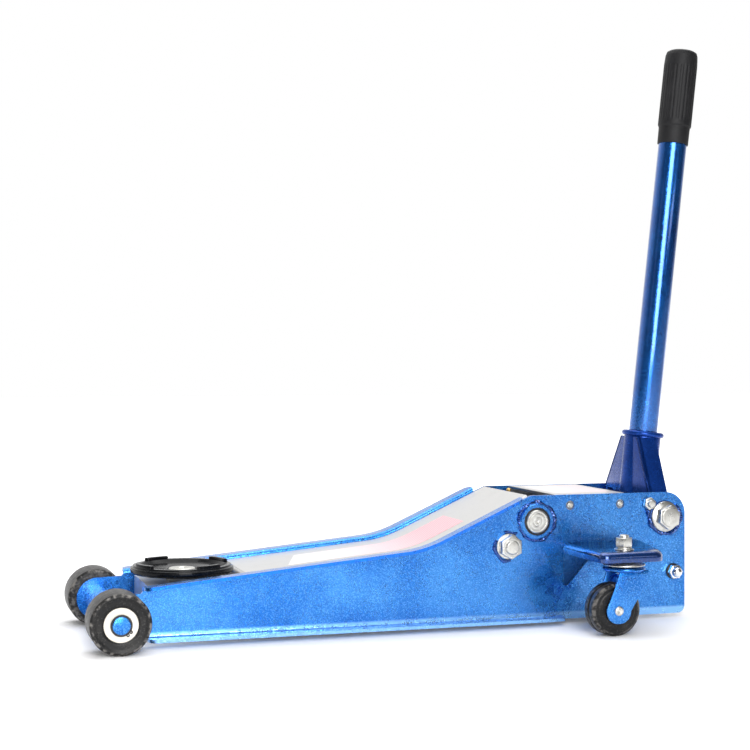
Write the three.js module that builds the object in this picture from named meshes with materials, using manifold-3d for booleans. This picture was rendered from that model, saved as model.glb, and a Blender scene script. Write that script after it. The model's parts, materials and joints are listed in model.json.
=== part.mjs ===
// Long-chassis hydraulic floor jack, in millimetres: X runs from the front wheels to the handle,
// Y across, Z up, with the wheels on Z = 0. Left is the -Y side. The jack is at rest: saddle down,
// handle up against its front stop. Right-hand pieces are modelled; the left ones mirror them.
import * as THREE from "three";
import { mergeVertices } from "three/addons/utils/BufferGeometryUtils.js";
import Module from "manifold-3d";

const wasm = await Module();
wasm.setup();

// ---- Driving dimensions -------------------------------------------------------------------
const GAP = 0.3; // running gap between pieces that touch
const SIDES = 12; // facets round a shaft or a hole
const TURNED_SIDES = 16; // facets round a larger turned piece
const FOOTPRINT_MIDDLE_X = 417.844; // middle of the whole jack, measured from the front wheels

const plate = { thickness: 4, outside: 82, bottom: 7, top: 164.5, rear: 774, rearRadius: 28 };
const flange = { width: 19, bend: 6, front: 68, rearTop: 541, rearBottom: 600, cornerRadius: 10 };
const topLine = { frontHeight: 71, bendX: 411, bendReach: 25, gentle: 0.0965, steep: 0.455 };
const ear = { radius: 26, top: 61.5 };
const axle = { x: 35.5, z: 35.5, radius: 10.5, end: 138.5, tubeRadius: 15.6 };
const frontWheel = { radius: 35.5, inside: 84.5, outside: 135.5, washerRadius: 19.8 };

const pivot = { x: 564, z: 132, radius: 15.4, bossRadius: 23, sleeveRadius: 24, end: 89 };
const anchor = { x: 526.5, z: 101.7, radius: 9, nutFlats: 27 };
const armTip = { x: 158, z: 52, radius: 8 };
const arm = { halfWidth: 75, skin: 5, drop: 5, front: 196, rear: 555, cheekIn: 62, cheekOut: 67 };
const crank = { pinX: 589.2, pinZ: 86.5, pinRadius: 8, plateIn: 20, plateOut: 28, eye: 14 };
const seat = { front: 79, rear: 184, top: 66, halfWidth: 60.5, skin: 5, pinRadius: 6 };
const saddle = { x: 128.6, bottom: 73, ringRadius: 63, crownRadius: 60, lugDepth: 7.5, lugHeight: 88.5 };
const rod = { inside: 46, thickness: 6, width: 20 };

const unit = { front: 620, rear: 704, halfWidth: 44, bottom: 52, top: 128, springY: 37, springStop: 690 };
const ram = { z: 83.5, radius: 14, front: 574, rear: 684, headHalf: 19, barX: 609 };
const plunger = { y: 24, z: 113, radius: 7, head: 12, headX: 746.6, depth: 60, travel: 27 };
const roller = { crank: 22, phase: 35, radius: 9, width: 10, pin: 4 };

const handlePivot = { x: 744, z: 133, radius: 13, flangeRadius: 19.7, eye: 20 };
const handle = { lean: 6.45, tubeRadius: 19, wall: 2.5, bottom: 32, top: 620, gripFrom: 498, gripTo: 626 };
const socket = { radius: 24.2, bottom: 24, top: 104, ringRadius: 24.4, ringWire: 3.8 };
const wing = { from: 26, to: 93, halfWidth: 67, topHalf: 26, front: -20.5, thickness: 6, depth: 28 };

const upperTie = { x: 721, z: 150.5, radius: 5, flats: 15 };
const lowerTie = { x: 757, z: 61.5, radius: 5, flats: 17 };
const cover = { front: 590, rear: 690, skin: 2.5, halfWidth: 77.6, drop: 24, screws: [611.4, 681.4] };
const coverScrew = { z: 150.8, head: 4.3, hole: 5.6 };

const bracket = { front: 601, top: 103, skin: 4, outer: 195, rearAtPlate: 715, lip: 13, gussetFoot: 50 };
const swivel = { x: 642.5, y: 170.5, bolt: 6, race: 26, crownTop: 82, nutFlats: 19 };
const caster = { x: 626.5, radius: 32, width: 27, legIn: 16, leg: 3, eye: 16, axle: 4 };

const BLUE = material(0x1b62c4, 0.3, 0.55);
const NAVY = material(0x163a86, 0.35, 0.5);
const GREY = material(0xcfd0cf, 0.4, 0.2);
const BLACK = material(0x141416, 0.45, 0.3);
const STEEL = material(0xc9c6bf, 0.3, 0.95);
const CREAM = material(0xe6e1d3, 0.5, 0.4);
const BRASS = material(0xc79a4b, 0.3, 0.95);
const RUBBER = material(0x1d1c1b, 0.8, 0);
const IRON = material(0x30343c, 0.55, 0.4);

function material(color, roughness, metalness) {
  return new THREE.MeshStandardMaterial({ color, roughness, metalness });
}

// ---- Shape helpers ------------------------------------------------------------------------

// A closed geometry as a solid that can be joined and cut.
function solid(geometry) {
  const bare = geometry.index ? geometry.toNonIndexed() : geometry.clone();
  bare.deleteAttribute("normal");
  bare.deleteAttribute("uv");
  const merged = mergeVertices(bare, 1e-4);
  const triVerts = new Uint32Array(merged.index.array);
  const vertProperties = new Float32Array(merged.attributes.position.array);
  const made = new wasm.Manifold(new wasm.Mesh({ numProp: 3, vertProperties, triVerts }));
  if (made.volume() > 0) return made;
  for (let i = 0; i < triVerts.length; i += 3) {
    [triVerts[i + 1], triVerts[i + 2]] = [triVerts[i + 2], triVerts[i + 1]];
  }
  return new wasm.Manifold(new wasm.Mesh({ numProp: 3, vertProperties, triVerts }));
}

// A solid's surface as a geometry with flat-shaded faces.
function surface(body) {
  const { vertProperties, triVerts, numProp } = body.getMesh();
  const geometry = new THREE.BufferGeometry();
  const points = new Float32Array((vertProperties.length / numProp) * 3);
  for (let i = 0; i < points.length; i += 1) {
    points[i] = vertProperties[Math.floor(i / 3) * numProp + (i % 3)];
  }
  geometry.setAttribute("position", new THREE.BufferAttribute(points, 3));
  geometry.setIndex(new THREE.BufferAttribute(new Uint32Array(triVerts), 1));
  geometry.computeVertexNormals();
  return geometry;
}

function join(first, ...others) {
  return others.reduce((sum, other) => sum.add(other), first);
}

function cut(first, ...others) {
  return others.reduce((rest, other) => rest.subtract(other), first);
}

// A closed outline from corners [x, y, radius], each rounded by a true arc.
function outline(corners) {
  const shape = new THREE.Shape();
  const at = corners.map(([x, y]) => new THREE.Vector2(x, y));
  corners.forEach(([x, y, radius = 0], i) => {
    const here = at[i];
    const back = at[(i + at.length - 1) % at.length].clone().sub(here).normalize();
    const ahead = at[(i + 1) % at.length].clone().sub(here).normalize();
    if (radius === 0) {
      if (i === 0) shape.moveTo(x, y);
      else shape.lineTo(x, y);
      return;
    }
    const half = Math.acos(back.dot(ahead)) / 2;
    const middle = back.clone().add(ahead).setLength(radius / Math.sin(half)).add(here);
    const start = back.clone().multiplyScalar(radius / Math.tan(half)).add(here).sub(middle);
    const end = ahead.clone().multiplyScalar(radius / Math.tan(half)).add(here).sub(middle);
    const rightTurn = back.cross(ahead) > 0;
    shape.absarc(middle.x, middle.y, radius, start.angle(), end.angle(), rightTurn);
  });
  shape.closePath();
  return shape;
}

// The radius of a faceted bore that leaves the running gap round a shaft at every facet.
function clear(radius) {
  return (radius + GAP) / Math.cos(Math.PI / SIDES);
}

// A faceted round hole for a shaft of the given radius.
function shaftHole(x, y, radius) {
  const points = new THREE.EllipseCurve(x, y, clear(radius), clear(radius)).getPoints(SIDES);
  points.pop();
  return new THREE.Path(points);
}

function extrude(shape, depth, curveSegments) {
  return new THREE.ExtrudeGeometry(shape, { depth, curveSegments, bevelEnabled: false });
}

// A shape drawn in X and Z, thickened from y0 to y1.
function slabY(shape, y0, y1, curveSegments = 3) {
  return solid(extrude(shape, y1 - y0, curveSegments).rotateX(Math.PI / 2).translate(0, y1, 0));
}

// A shape drawn in X and Y, thickened from z0 to z1.
function slabZ(shape, z0, z1, curveSegments = 2) {
  return solid(extrude(shape, z1 - z0, curveSegments).translate(0, 0, z0));
}

function block(x0, x1, y0, y1, z0, z1) {
  const box = new THREE.BoxGeometry(x1 - x0, y1 - y0, z1 - z0);
  return solid(box.translate((x0 + x1) / 2, (y0 + y1) / 2, (z0 + z1) / 2));
}

// A turned piece about the Y axis through (x, z), from a closed profile of [radius, y].
function turnedY(profile, x, z, segments = TURNED_SIDES) {
  const points = profile.map(([r, y]) => new THREE.Vector2(r, y));
  points.push(points[0].clone());
  return solid(new THREE.LatheGeometry(points, segments).translate(x, 0, z));
}

// The same about the Z axis through (x, y), from a closed profile of [radius, z].
function turnedZ(profile, x, y, segments = TURNED_SIDES) {
  const points = profile.map(([r, z]) => new THREE.Vector2(r, z));
  points.push(points[0].clone());
  const lathe = new THREE.LatheGeometry(points, segments).rotateX(Math.PI / 2);
  return solid(lathe.translate(x, y, 0));
}

function rodY(radius, y0, y1, x, z, segments = SIDES) {
  const rod = new THREE.CylinderGeometry(radius, radius, y1 - y0, segments);
  return solid(rod.translate(x, (y0 + y1) / 2, z));
}

function rodZ(radius, z0, z1, x, y, segments = SIDES) {
  const rod = new THREE.CylinderGeometry(radius, radius, z1 - z0, segments).rotateX(Math.PI / 2);
  return solid(rod.translate(x, y, (z0 + z1) / 2));
}

function rodX(radius, x0, x1, y, z, segments = SIDES) {
  const rod = new THREE.CylinderGeometry(radius, radius, x1 - x0, segments).rotateZ(Math.PI / 2);
  return solid(rod.translate((x0 + x1) / 2, y, z));
}

// A hexagon of the given width across its flats, about the Y or Z axis.
function hexY(flats, y0, y1, x, z) {
  return rodY(flats / Math.sqrt(3), y0, y1, x, z, 6);
}

function hexZ(flats, z0, z1, x, y) {
  return rodZ(flats / Math.sqrt(3), z0, z1, x, y, 6);
}

// A flat link between two eyes, drawn in X and Z.
function link(a, radiusA, b, radiusB) {
  const along = Math.atan2(b.z - a.z, b.x - a.x);
  const apart = Math.hypot(b.x - a.x, b.z - a.z);
  const swing = Math.acos((radiusA - radiusB) / apart);
  const shape = new THREE.Shape();
  shape.absarc(a.x, a.z, radiusA, along + swing, along - swing, false);
  shape.absarc(b.x, b.z, radiusB, along - swing, along + swing, false);
  shape.closePath();
  return shape;
}

// ---- The jack as a scene graph ------------------------------------------------------------
const jack = new THREE.Group();
jack.position.x = -FOOTPRINT_MIDDLE_X;

function add(name, body, finish, parent = jack) {
  const mesh = new THREE.Mesh(surface(body), finish);
  mesh.name = name;
  parent.add(mesh);
}

// The right-hand piece and its mirror image on the left.
function addPair(name, body, finish) {
  add(`${name}_right`, body, finish);
  const mesh = new THREE.Mesh(surface(body), finish);
  mesh.name = `${name}_left`;
  mesh.scale.y = -1;
  jack.add(mesh);
}

// ---- Side plates: pressed webs with flanges folded outwards along the top and bottom -------

// Height of the plate's top edge: a gentle slope that bends up into a steep one.
function plateTop(x) {
  const gentle = topLine.frontHeight + topLine.gentle * (x - flange.front);
  const run = x - (topLine.bendX - topLine.bendReach);
  if (run <= 0) return gentle;
  const extra = topLine.steep - topLine.gentle;
  if (run >= 2 * topLine.bendReach) return gentle + extra * (x - topLine.bendX);
  return gentle + (extra * run * run) / (4 * topLine.bendReach);
}

// Places along the top edge from x0 to x1, close together only in the bend.
function topStations(x0, x1, lift) {
  const steps = 8;
  const places = [x0];
  for (let i = 0; i <= steps; i += 1) {
    const x = topLine.bendX + topLine.bendReach * (2 * (i / steps) - 1);
    if (x > x0 && x < x1) places.push(x);
  }
  places.push(x1);
  return places.map((x) => [x, plateTop(x) + lift]);
}

// A section drawn in Y and Z, carried along X through stations of [x, height].
function sweepX(section, stations, curveSegments = 2) {
  const steps = stations.length - 1;
  const options = { depth: steps, steps, curveSegments, bevelEnabled: false };
  const geometry = new THREE.ExtrudeGeometry(section, options);
  const position = geometry.attributes.position;
  for (let i = 0; i < position.count; i += 1) {
    const [x, height] = stations[Math.round(position.getZ(i))];
    position.setXYZ(i, x, position.getX(i), height + position.getY(i));
  }
  return solid(geometry);
}

// The folded edge: a strip of web, the bend and the outward flange, with its top at height 0.
function foldedEdge(up) {
  const inside = plate.outside - plate.thickness;
  const centreY = inside + flange.bend;
  const tail = -(flange.bend + 14);
  const edge = plate.outside + flange.width;
  const shape = new THREE.Shape();
  shape.moveTo(inside, up * tail);
  const outer = flange.bend;
  const inner = flange.bend - plate.thickness;
  const quarter = (up * Math.PI) / 2;
  shape.absarc(centreY, -up * outer, outer, Math.PI, quarter, up > 0);
  shape.lineTo(edge, 0);
  shape.lineTo(edge, -up * plate.thickness);
  shape.absarc(centreY, -up * outer, inner, quarter, Math.PI, up < 0);
  shape.lineTo(plate.outside, up * tail);
  shape.closePath();
  return shape;
}

function sidePlate() {
  const inside = plate.outside - plate.thickness;
  const corner = plate.rearRadius;
  const foot = 10;
  const webFoot = plate.bottom + flange.bend;
  const shape = new THREE.Shape();
  shape.moveTo(axle.x, axle.z - ear.radius);
  shape.lineTo(66, axle.z - ear.radius);
  shape.lineTo(73, webFoot);
  shape.lineTo(flange.rearBottom, webFoot);
  shape.lineTo(flange.rearBottom + 1, plate.bottom);
  shape.absarc(plate.rear - foot, plate.bottom + foot, foot, -Math.PI / 2, 0, false);
  shape.absarc(plate.rear - corner, plate.top - corner, corner, 0, Math.PI / 2, false);
  shape.lineTo(557.5, plate.top);
  shape.lineTo(flange.rearTop + 1, plateTop(flange.rearTop) - 5.5);
  for (const [x, z] of topStations(flange.front, flange.rearTop, -flange.bend).reverse()) {
    shape.lineTo(x, z);
  }
  shape.lineTo(flange.front - 2, ear.top + 1);
  shape.absarc(axle.x, axle.z, ear.radius, Math.PI / 2, (3 * Math.PI) / 2, false);
  shape.holes.push(shaftHole(axle.x, axle.z, axle.radius));
  shape.holes.push(shaftHole(pivot.x, pivot.z, pivot.radius));
  shape.holes.push(shaftHole(anchor.x, anchor.z, anchor.radius));
  shape.holes.push(shaftHole(handlePivot.x, handlePivot.z, handlePivot.radius));
  shape.holes.push(shaftHole(upperTie.x, upperTie.z, upperTie.radius));
  shape.holes.push(shaftHole(lowerTie.x, lowerTie.z, lowerTie.radius));
  for (const x of cover.screws) shape.holes.push(shaftHole(x, coverScrew.z, coverScrew.hole));
  const web = slabY(shape, inside, plate.outside, 8);

  const topRail = sweepX(foldedEdge(1), topStations(flange.front, flange.rearTop, 0), 4);
  const bottomStations = [
    [73, plate.bottom],
    [flange.rearBottom, plate.bottom],
  ];
  const bottomRail = sweepX(foldedEdge(-1), bottomStations, 4);
  const edge = plate.outside + flange.width;
  const trim = (x0, x1) =>
    slabZ(
      outline([
        [x0, 70],
        [x1, 70],
        [x1, edge, flange.cornerRadius],
        [x0, edge, flange.cornerRadius],
      ]),
      0,
      200,
    );
  const pivotBoss = turnedY(
    [
      [pivot.radius + 2.4, plate.outside - 2],
      [pivot.bossRadius, plate.outside - 2],
      [pivot.bossRadius, plate.outside + 3.5],
      [pivot.bossRadius - 1.5, plate.outside + 5],
      [pivot.radius + 2.4, plate.outside + 5],
    ],
    pivot.x,
    pivot.z,
  );
  const handleBoss = turnedY(
    [
      [handlePivot.radius + 1, plate.outside - 2],
      [handlePivot.flangeRadius, plate.outside - 2],
      [handlePivot.flangeRadius, plate.outside + 2],
      [handlePivot.radius + 1, plate.outside + 2],
    ],
    handlePivot.x,
    handlePivot.z,
  );
  return join(
    web,
    topRail.intersect(trim(flange.front, flange.rearTop)),
    bottomRail.intersect(trim(73, flange.rearBottom)),
    pivotBoss,
    handleBoss,
  );
}

function addFrame() {
  addPair("side_plate", sidePlate(), BLUE);

  const tubeEnd = plate.outside - plate.thickness - GAP;
  const tube = [
    [clear(axle.radius), -tubeEnd],
    [axle.tubeRadius, -tubeEnd],
    [axle.tubeRadius, tubeEnd],
    [clear(axle.radius), tubeEnd],
  ];
  add("front_axle_tube", turnedY(tube, axle.x, axle.z), BLUE);
  const axleProfile = [
    [0, -axle.end],
    [axle.radius - 0.8, -axle.end],
    [axle.radius, -axle.end + 0.8],
    [axle.radius, axle.end - 0.8],
    [axle.radius - 0.8, axle.end],
    [0, axle.end],
  ];
  add("front_axle", turnedY(axleProfile, axle.x, axle.z), BLUE);

  // The shaft that the lifting arm turns on.
  const end = pivot.end;
  const shaft = [
    [0, -end],
    [pivot.radius - 1.2, -end],
    [pivot.radius, -end + 1.2],
    [pivot.radius, end - 1.2],
    [pivot.radius - 1.2, end],
    [0, end],
  ];
  add("arm_pivot_shaft", turnedY(shaft, pivot.x, pivot.z), STEEL);

  // The stud that each radius rod swings on, held by a nut and its washer outside the plate.
  const stud = join(
    rodY(anchor.radius, rod.inside - 1, plate.outside + 21, anchor.x, anchor.z),
    rodY(anchor.radius + 4, rod.inside - 5, rod.inside - GAP, anchor.x, anchor.z),
  );
  addPair("rod_anchor_stud", stud, STEEL);
  const nutFrom = plate.outside + GAP;
  const nut = cut(
    join(
      rodY(16, nutFrom, nutFrom + 2.5, anchor.x, anchor.z),
      hexY(anchor.nutFlats, nutFrom + 2, nutFrom + 17, anchor.x, anchor.z),
    ),
    rodY(clear(anchor.radius), nutFrom - 1, nutFrom + 20, anchor.x, anchor.z),
  );
  addPair("rod_anchor_nut", nut, STEEL);

  const boltSeat = plate.outside + 2 + GAP;
  const bolt = turnedY(
    [
      [0, 58],
      [handlePivot.radius - 1, 58],
      [handlePivot.radius, 59],
      [handlePivot.radius, boltSeat],
      [handlePivot.flangeRadius, boltSeat],
      [handlePivot.flangeRadius, boltSeat + 2],
      [handlePivot.flangeRadius - 5, boltSeat + 5],
      [0, boltSeat + 5],
    ],
    handlePivot.x,
    handlePivot.z,
  );
  const head = join(
    hexY(30, boltSeat + 3, boltSeat + 15, handlePivot.x, handlePivot.z),
    rodY(12.5, boltSeat + 14, boltSeat + 16, handlePivot.x, handlePivot.z),
  );
  addPair("handle_pivot_bolt", join(bolt, head), STEEL);

  const washerFrom = plate.outside + GAP;
  const upper = join(
    rodY(upperTie.radius, -washerFrom - 12, washerFrom + 12, upperTie.x, upperTie.z),
    hexY(upperTie.flats, washerFrom, washerFrom + 7, upperTie.x, upperTie.z),
    hexY(upperTie.flats, -washerFrom - 7, -washerFrom, upperTie.x, upperTie.z),
  );
  add("upper_tie_bolt", upper, STEEL);
  const tieEnd = washerFrom + 10;
  const lower = rodY(lowerTie.radius, -tieEnd, tieEnd, lowerTie.x, lowerTie.z);
  add("lower_tie_rod", lower, STEEL);
  const cap = cut(
    join(
      rodY(10.2, washerFrom, washerFrom + 1.8, lowerTie.x, lowerTie.z),
      hexY(lowerTie.flats, washerFrom + 1.5, washerFrom + 9, lowerTie.x, lowerTie.z),
      turnedY(
        [
          [0, washerFrom + 8],
          [7, washerFrom + 8],
          [6.6, washerFrom + 12],
          [4.6, washerFrom + 15.5],
          [0, washerFrom + 17],
        ],
        lowerTie.x,
        lowerTie.z,
        12,
      ),
    ),
    rodY(clear(lowerTie.radius), washerFrom - 1, tieEnd + GAP, lowerTie.x, lowerTie.z),
  );
  addPair("tie_cap_nut", cap, STEEL);
}

function addRearCover() {
  const inner = cover.halfWidth - cover.skin;
  const section = outline([
    [-cover.halfWidth, plate.top - cover.drop],
    [-inner, plate.top - cover.drop],
    [-inner, plate.top - cover.skin, 2],
    [inner, plate.top - cover.skin, 2],
    [inner, plate.top - cover.drop],
    [cover.halfWidth, plate.top - cover.drop],
    [cover.halfWidth, plate.top, 4],
    [-cover.halfWidth, plate.top, 4],
  ]);
  const shell = sweepX(section, [
    [cover.front, 0],
    [cover.rear, 0],
  ]);
  const holes = cover.screws.map((x) => rodY(2.8, -90, 90, x, coverScrew.z, 16));
  add("rear_cover", cut(shell, ...holes), GREY);
  cover.screws.forEach((x, i) => {
    const seatY = cover.halfWidth + GAP;
    const screw = turnedY(
      [
        [0, inner - 4],
        [2.5, inner - 4],
        [2.5, seatY],
        [coverScrew.head, seatY],
        [coverScrew.head, seatY + 3.4],
        [2.2, seatY + 4.2],
        [2.2, seatY + 3],
        [0, seatY + 3],
      ],
      x,
      coverScrew.z,
      10,
    );
    addPair(`cover_screw_${i + 1}`, screw, STEEL);
  });
}

// ---- Front wheels -------------------------------------------------------------------------
function addFrontWheels() {
  const { radius, inside, outside, washerRadius } = frontWheel;
  const bore = clear(axle.radius);
  const wheel = [
    [bore, inside],
    [radius - 2.5, inside],
    [radius, inside + 3],
    [radius, outside - 3],
    [radius - 2.5, outside],
    [radius - 6, outside],
    [washerRadius + 2, outside - 2.6],
    [bore, outside - 2.6],
  ];
  addPair("front_wheel", turnedY(wheel, axle.x, axle.z, 24), RUBBER);
  const washer = [
    [bore, outside - 2.6 + GAP],
    [washerRadius, outside - 2.6 + GAP],
    [washerRadius, outside - 0.4],
    [bore, outside - 0.4],
  ];
  addPair("axle_washer", turnedY(washer, axle.x, axle.z), CREAM);
}

// ---- Lifting arm: a channel of folded cover and two cheeks, welded to the pivot sleeve -----
function liftArm() {
  const skin = arm.skin;
  const top = -arm.drop;
  const coverSection = outline([
    [-arm.halfWidth, top - skin],
    [arm.halfWidth, top - skin],
    [arm.halfWidth, top, 2.5],
    [-arm.halfWidth, top, 2.5],
  ]);
  const skinPlate = sweepX(coverSection, topStations(arm.front, arm.rear, 0), 3);
  // The cover's front edge rolls down behind the saddle seat.
  const noseTop = plateTop(arm.front) - arm.drop;
  const nose = slabY(
    outline([
      [arm.front - 5, noseTop - 14],
      [arm.front, noseTop - 14],
      [arm.front + 4, noseTop - skin],
      [arm.front + 4, noseTop],
      [arm.front - 5, noseTop - 0.5, 7],
    ]),
    -arm.halfWidth,
    arm.halfWidth,
  );

  const cheek = new THREE.Shape();
  const boss = 26;
  cheek.absarc(armTip.x, armTip.z, 16, Math.PI * 0.6, Math.PI * 1.5, false);
  cheek.lineTo(300, 38);
  cheek.lineTo(440, 60);
  cheek.lineTo(496, 94);
  cheek.lineTo(511, 110);
  cheek.absarc(pivot.x, pivot.z, boss, Math.PI * 1.16, Math.PI * 2.5, false);
  for (const [x, z] of topStations(arm.front, arm.rear, top - skin + 1).reverse()) {
    cheek.lineTo(x, z);
  }
  cheek.holes.push(shaftHole(armTip.x, armTip.z, armTip.radius));
  const rightCheek = slabY(cheek, arm.cheekIn, arm.cheekOut);
  const leftCheek = slabY(cheek, -arm.cheekOut, -arm.cheekIn);

  const eyePlate = link(pivot, pivot.sleeveRadius, { x: crank.pinX, z: crank.pinZ }, crank.eye);
  const rightCrank = slabY(eyePlate, crank.plateIn, crank.plateOut);
  const leftCrank = slabY(eyePlate, -crank.plateOut, -crank.plateIn);
  const sleeve = rodY(pivot.sleeveRadius, -73, 73, pivot.x, pivot.z);

  return cut(
    join(skinPlate, nose, rightCheek, leftCheek, rightCrank, leftCrank, sleeve),
    rodY(clear(pivot.radius), -80, 80, pivot.x, pivot.z),
    rodY(clear(crank.pinRadius), -40, 40, crank.pinX, crank.pinZ),
    rodZ(2.6, pivot.z, pivot.z + 40, pivot.x - 3, 0, 12),
  );
}

function addArm() {
  add("lift_arm", liftArm(), GREY);
  const crankPin = rodY(crank.pinRadius, -crank.plateOut, crank.plateOut, crank.pinX, crank.pinZ);
  add("crank_pin", crankPin, STEEL);
  const foot = pivot.z + pivot.sleeveRadius + GAP;
  const nipple = join(
    rodZ(2.3, foot - 5, foot + 1, pivot.x - 3, 0, 12),
    hexZ(7, foot, foot + 5, pivot.x - 3, 0),
    turnedZ(
      [
        [0, foot + 4],
        [2.4, foot + 4],
        [2.4, foot + 7],
        [3.1, foot + 8.4],
        [3.1, foot + 10],
        [1.8, foot + 11.6],
        [0, foot + 11.6],
      ],
      pivot.x - 3,
      0,
      8,
    ),
  );
  add("grease_nipple", nipple, BRASS);
}

// ---- Saddle, its seat, and the radius rods that keep it level ------------------------------
const rodOffset = { x: anchor.x - pivot.x, z: anchor.z - pivot.z };
const rodTip = { x: armTip.x + rodOffset.x, z: armTip.z + rodOffset.z };

function addSaddleSeat() {
  const { front, rear, top, halfWidth, skin, pinRadius } = seat;
  const wall = new THREE.Shape();
  wall.moveTo(front, top - 28);
  wall.absarc(rodTip.x, rodTip.z, 10, Math.PI, Math.PI * 1.6, false);
  wall.absarc(armTip.x, armTip.z, 14, Math.PI * 1.7, Math.PI * 2.1, false);
  wall.lineTo(rear, top - skin);
  wall.lineTo(rear, top - 1);
  wall.lineTo(front, top - 1);
  wall.closePath();
  wall.holes.push(shaftHole(armTip.x, armTip.z, armTip.radius));
  wall.holes.push(shaftHole(rodTip.x, rodTip.z, pinRadius));
  const deck = outline([
    [front, -halfWidth, 6],
    [rear, -halfWidth, 6],
    [rear, halfWidth, 6],
    [front, halfWidth, 6],
  ]);
  const body = cut(
    join(
      slabZ(deck, top - skin, top),
      block(front, front + skin, -halfWidth + 2, halfWidth - 2, top - 28, top - 1),
      slabY(wall, halfWidth - skin, halfWidth),
      slabY(wall, -halfWidth, -halfWidth + skin),
      rodZ(20, top - 1, saddle.bottom - GAP, saddle.x, 0),
    ),
    rodZ(clear(5), 0, 100, saddle.x, 0),
  );
  add("saddle_seat", body, GREY);
  add("seat_pin", rodY(armTip.radius, -arm.cheekOut, arm.cheekOut, armTip.x, armTip.z), STEEL);
  add("rod_tip_pin", rodY(pinRadius, -halfWidth, halfWidth, rodTip.x, rodTip.z, 20), STEEL);
}

function addSaddle() {
  const { x, bottom, ringRadius, crownRadius, lugDepth, lugHeight } = saddle;
  const dish = turnedZ(
    [
      [clear(5), bottom],
      [48, bottom],
      [ringRadius - 4, bottom + 1.5],
      [ringRadius, bottom + 4],
      [ringRadius, bottom + 9.5],
      [crownRadius, bottom + 10],
      [crownRadius, bottom + 12],
      [crownRadius - 7, bottom + 12],
      [crownRadius - 11, bottom + 7.5],
      [18, bottom + 6],
      [18, bottom + 4],
      [clear(5), bottom + 4],
    ],
    x,
    0,
    24,
  );
  const lugs = [];
  const lugCount = 4;
  const firstLug = 25;
  const lugHalfAngle = 17;
  for (let i = 0; i < lugCount; i += 1) {
    const middle = THREE.MathUtils.degToRad(firstLug + (360 / lugCount) * i);
    const half = THREE.MathUtils.degToRad(lugHalfAngle);
    const lug = new THREE.Shape();
    lug.absarc(x, 0, crownRadius - 0.2, middle - half, middle + half, false);
    lug.absarc(x, 0, crownRadius - lugDepth, middle + half, middle - half, true);
    lug.closePath();
    lugs.push(slabZ(lug, bottom + 9, lugHeight));
  }
  add("saddle", join(dish, ...lugs), BLACK);
  const seatZ = bottom + 4 + GAP;
  const screw = turnedZ(
    [
      [0, seat.top - seat.skin - 2],
      [5, seat.top - seat.skin - 2],
      [5, seatZ],
      [16.5, seatZ],
      [16.5, seatZ + 2.6],
      [14, seatZ + 3.4],
      [0, seatZ + 3.4],
    ],
    x,
    0,
  );
  add("saddle_screw", screw, STEEL);
}

function addRadiusRods() {
  const bar = link(anchor, rod.width / 2 + 4, rodTip, rod.width / 2);
  bar.holes.push(shaftHole(anchor.x, anchor.z, anchor.radius));
  bar.holes.push(shaftHole(rodTip.x, rodTip.z, seat.pinRadius));
  addPair("radius_rod", slabY(bar, rod.inside, rod.inside + rod.thickness), BLACK);
}

// ---- Power unit: cylinder and pump block, ram, springs, pump plunger and release valve -----
const valve = { angle: Math.PI / 4, reach: 60 };

// A coil spring whose axis runs along X.
function coilSpring(x0, x1, y, z, coilRadius, wire, turns) {
  class Helix extends THREE.Curve {
    getPoint(t, target = new THREE.Vector3()) {
      const angle = 2 * Math.PI * turns * t;
      const along = x0 + wire + (x1 - x0 - 2 * wire) * t;
      return target.set(along, y + coilRadius * Math.cos(angle), z + coilRadius * Math.sin(angle));
    }
  }
  const section = new THREE.Shape().absarc(0, 0, wire, 0, 2 * Math.PI, false);
  const options = { steps: turns * 6, curveSegments: 2, extrudePath: new Helix() };
  return solid(new THREE.ExtrudeGeometry(section, { ...options, bevelEnabled: false }));
}

function addPowerUnit() {
  const { front, rear, halfWidth, bottom, top } = unit;
  const body = slabY(
    outline([
      [front, bottom, 4],
      [rear, bottom, 4],
      [rear, top, 4],
      [front + 26, top, 4],
      [front, top - 22, 4],
    ]),
    -halfWidth,
    halfWidth,
    4,
  );
  const trunnions = [1, -1].map((side) => {
    const far = side * (plate.outside - plate.thickness - GAP);
    return rodY(15, Math.min(0, far), Math.max(0, far), rear - 30, ram.z);
  });
  const lug = outline([
    [rear - 30, top - 6],
    [upperTie.x - 2, upperTie.z - 10],
    [upperTie.x + 9, upperTie.z - 10, 8],
    [upperTie.x + 9, upperTie.z + 9, 8],
    [upperTie.x - 10, upperTie.z + 9, 8],
    [rear - 46, top - 2],
  ]);
  const lugs = [slabY(lug, halfWidth - 8, halfWidth, 4), slabY(lug, -halfWidth, 8 - halfWidth, 4)];
  const channels = [1, -1].map((side) => {
    const inner = side * (unit.springY - 7.5);
    const outer = side * (halfWidth + 5);
    const [y0, y1] = side > 0 ? [inner, outer] : [outer, inner];
    return block(front - 5, unit.springStop, y0, y1, ram.z - 8, ram.z + 8);
  });
  const valveBore = new THREE.CylinderGeometry(clear(6), clear(6), 40, SIDES)
    .translate(0, -valve.reach + 19, 0)
    .rotateZ(-valve.angle)
    .rotateX(Math.PI / 2)
    .translate(handlePivot.x, 0, handlePivot.z);
  add(
    "power_unit",
    cut(
      join(body, ...trunnions, ...lugs),
      ...channels,
      rodX(clear(ram.radius), front - 10, ram.rear + 2, 0, ram.z),
      rodX(clear(plunger.radius), rear - plunger.depth, rear + 10, plunger.y, plunger.z),
      rodY(clear(upperTie.radius), -60, 60, upperTie.x, upperTie.z),
      solid(valveBore),
    ),
    IRON,
  );
}

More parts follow.
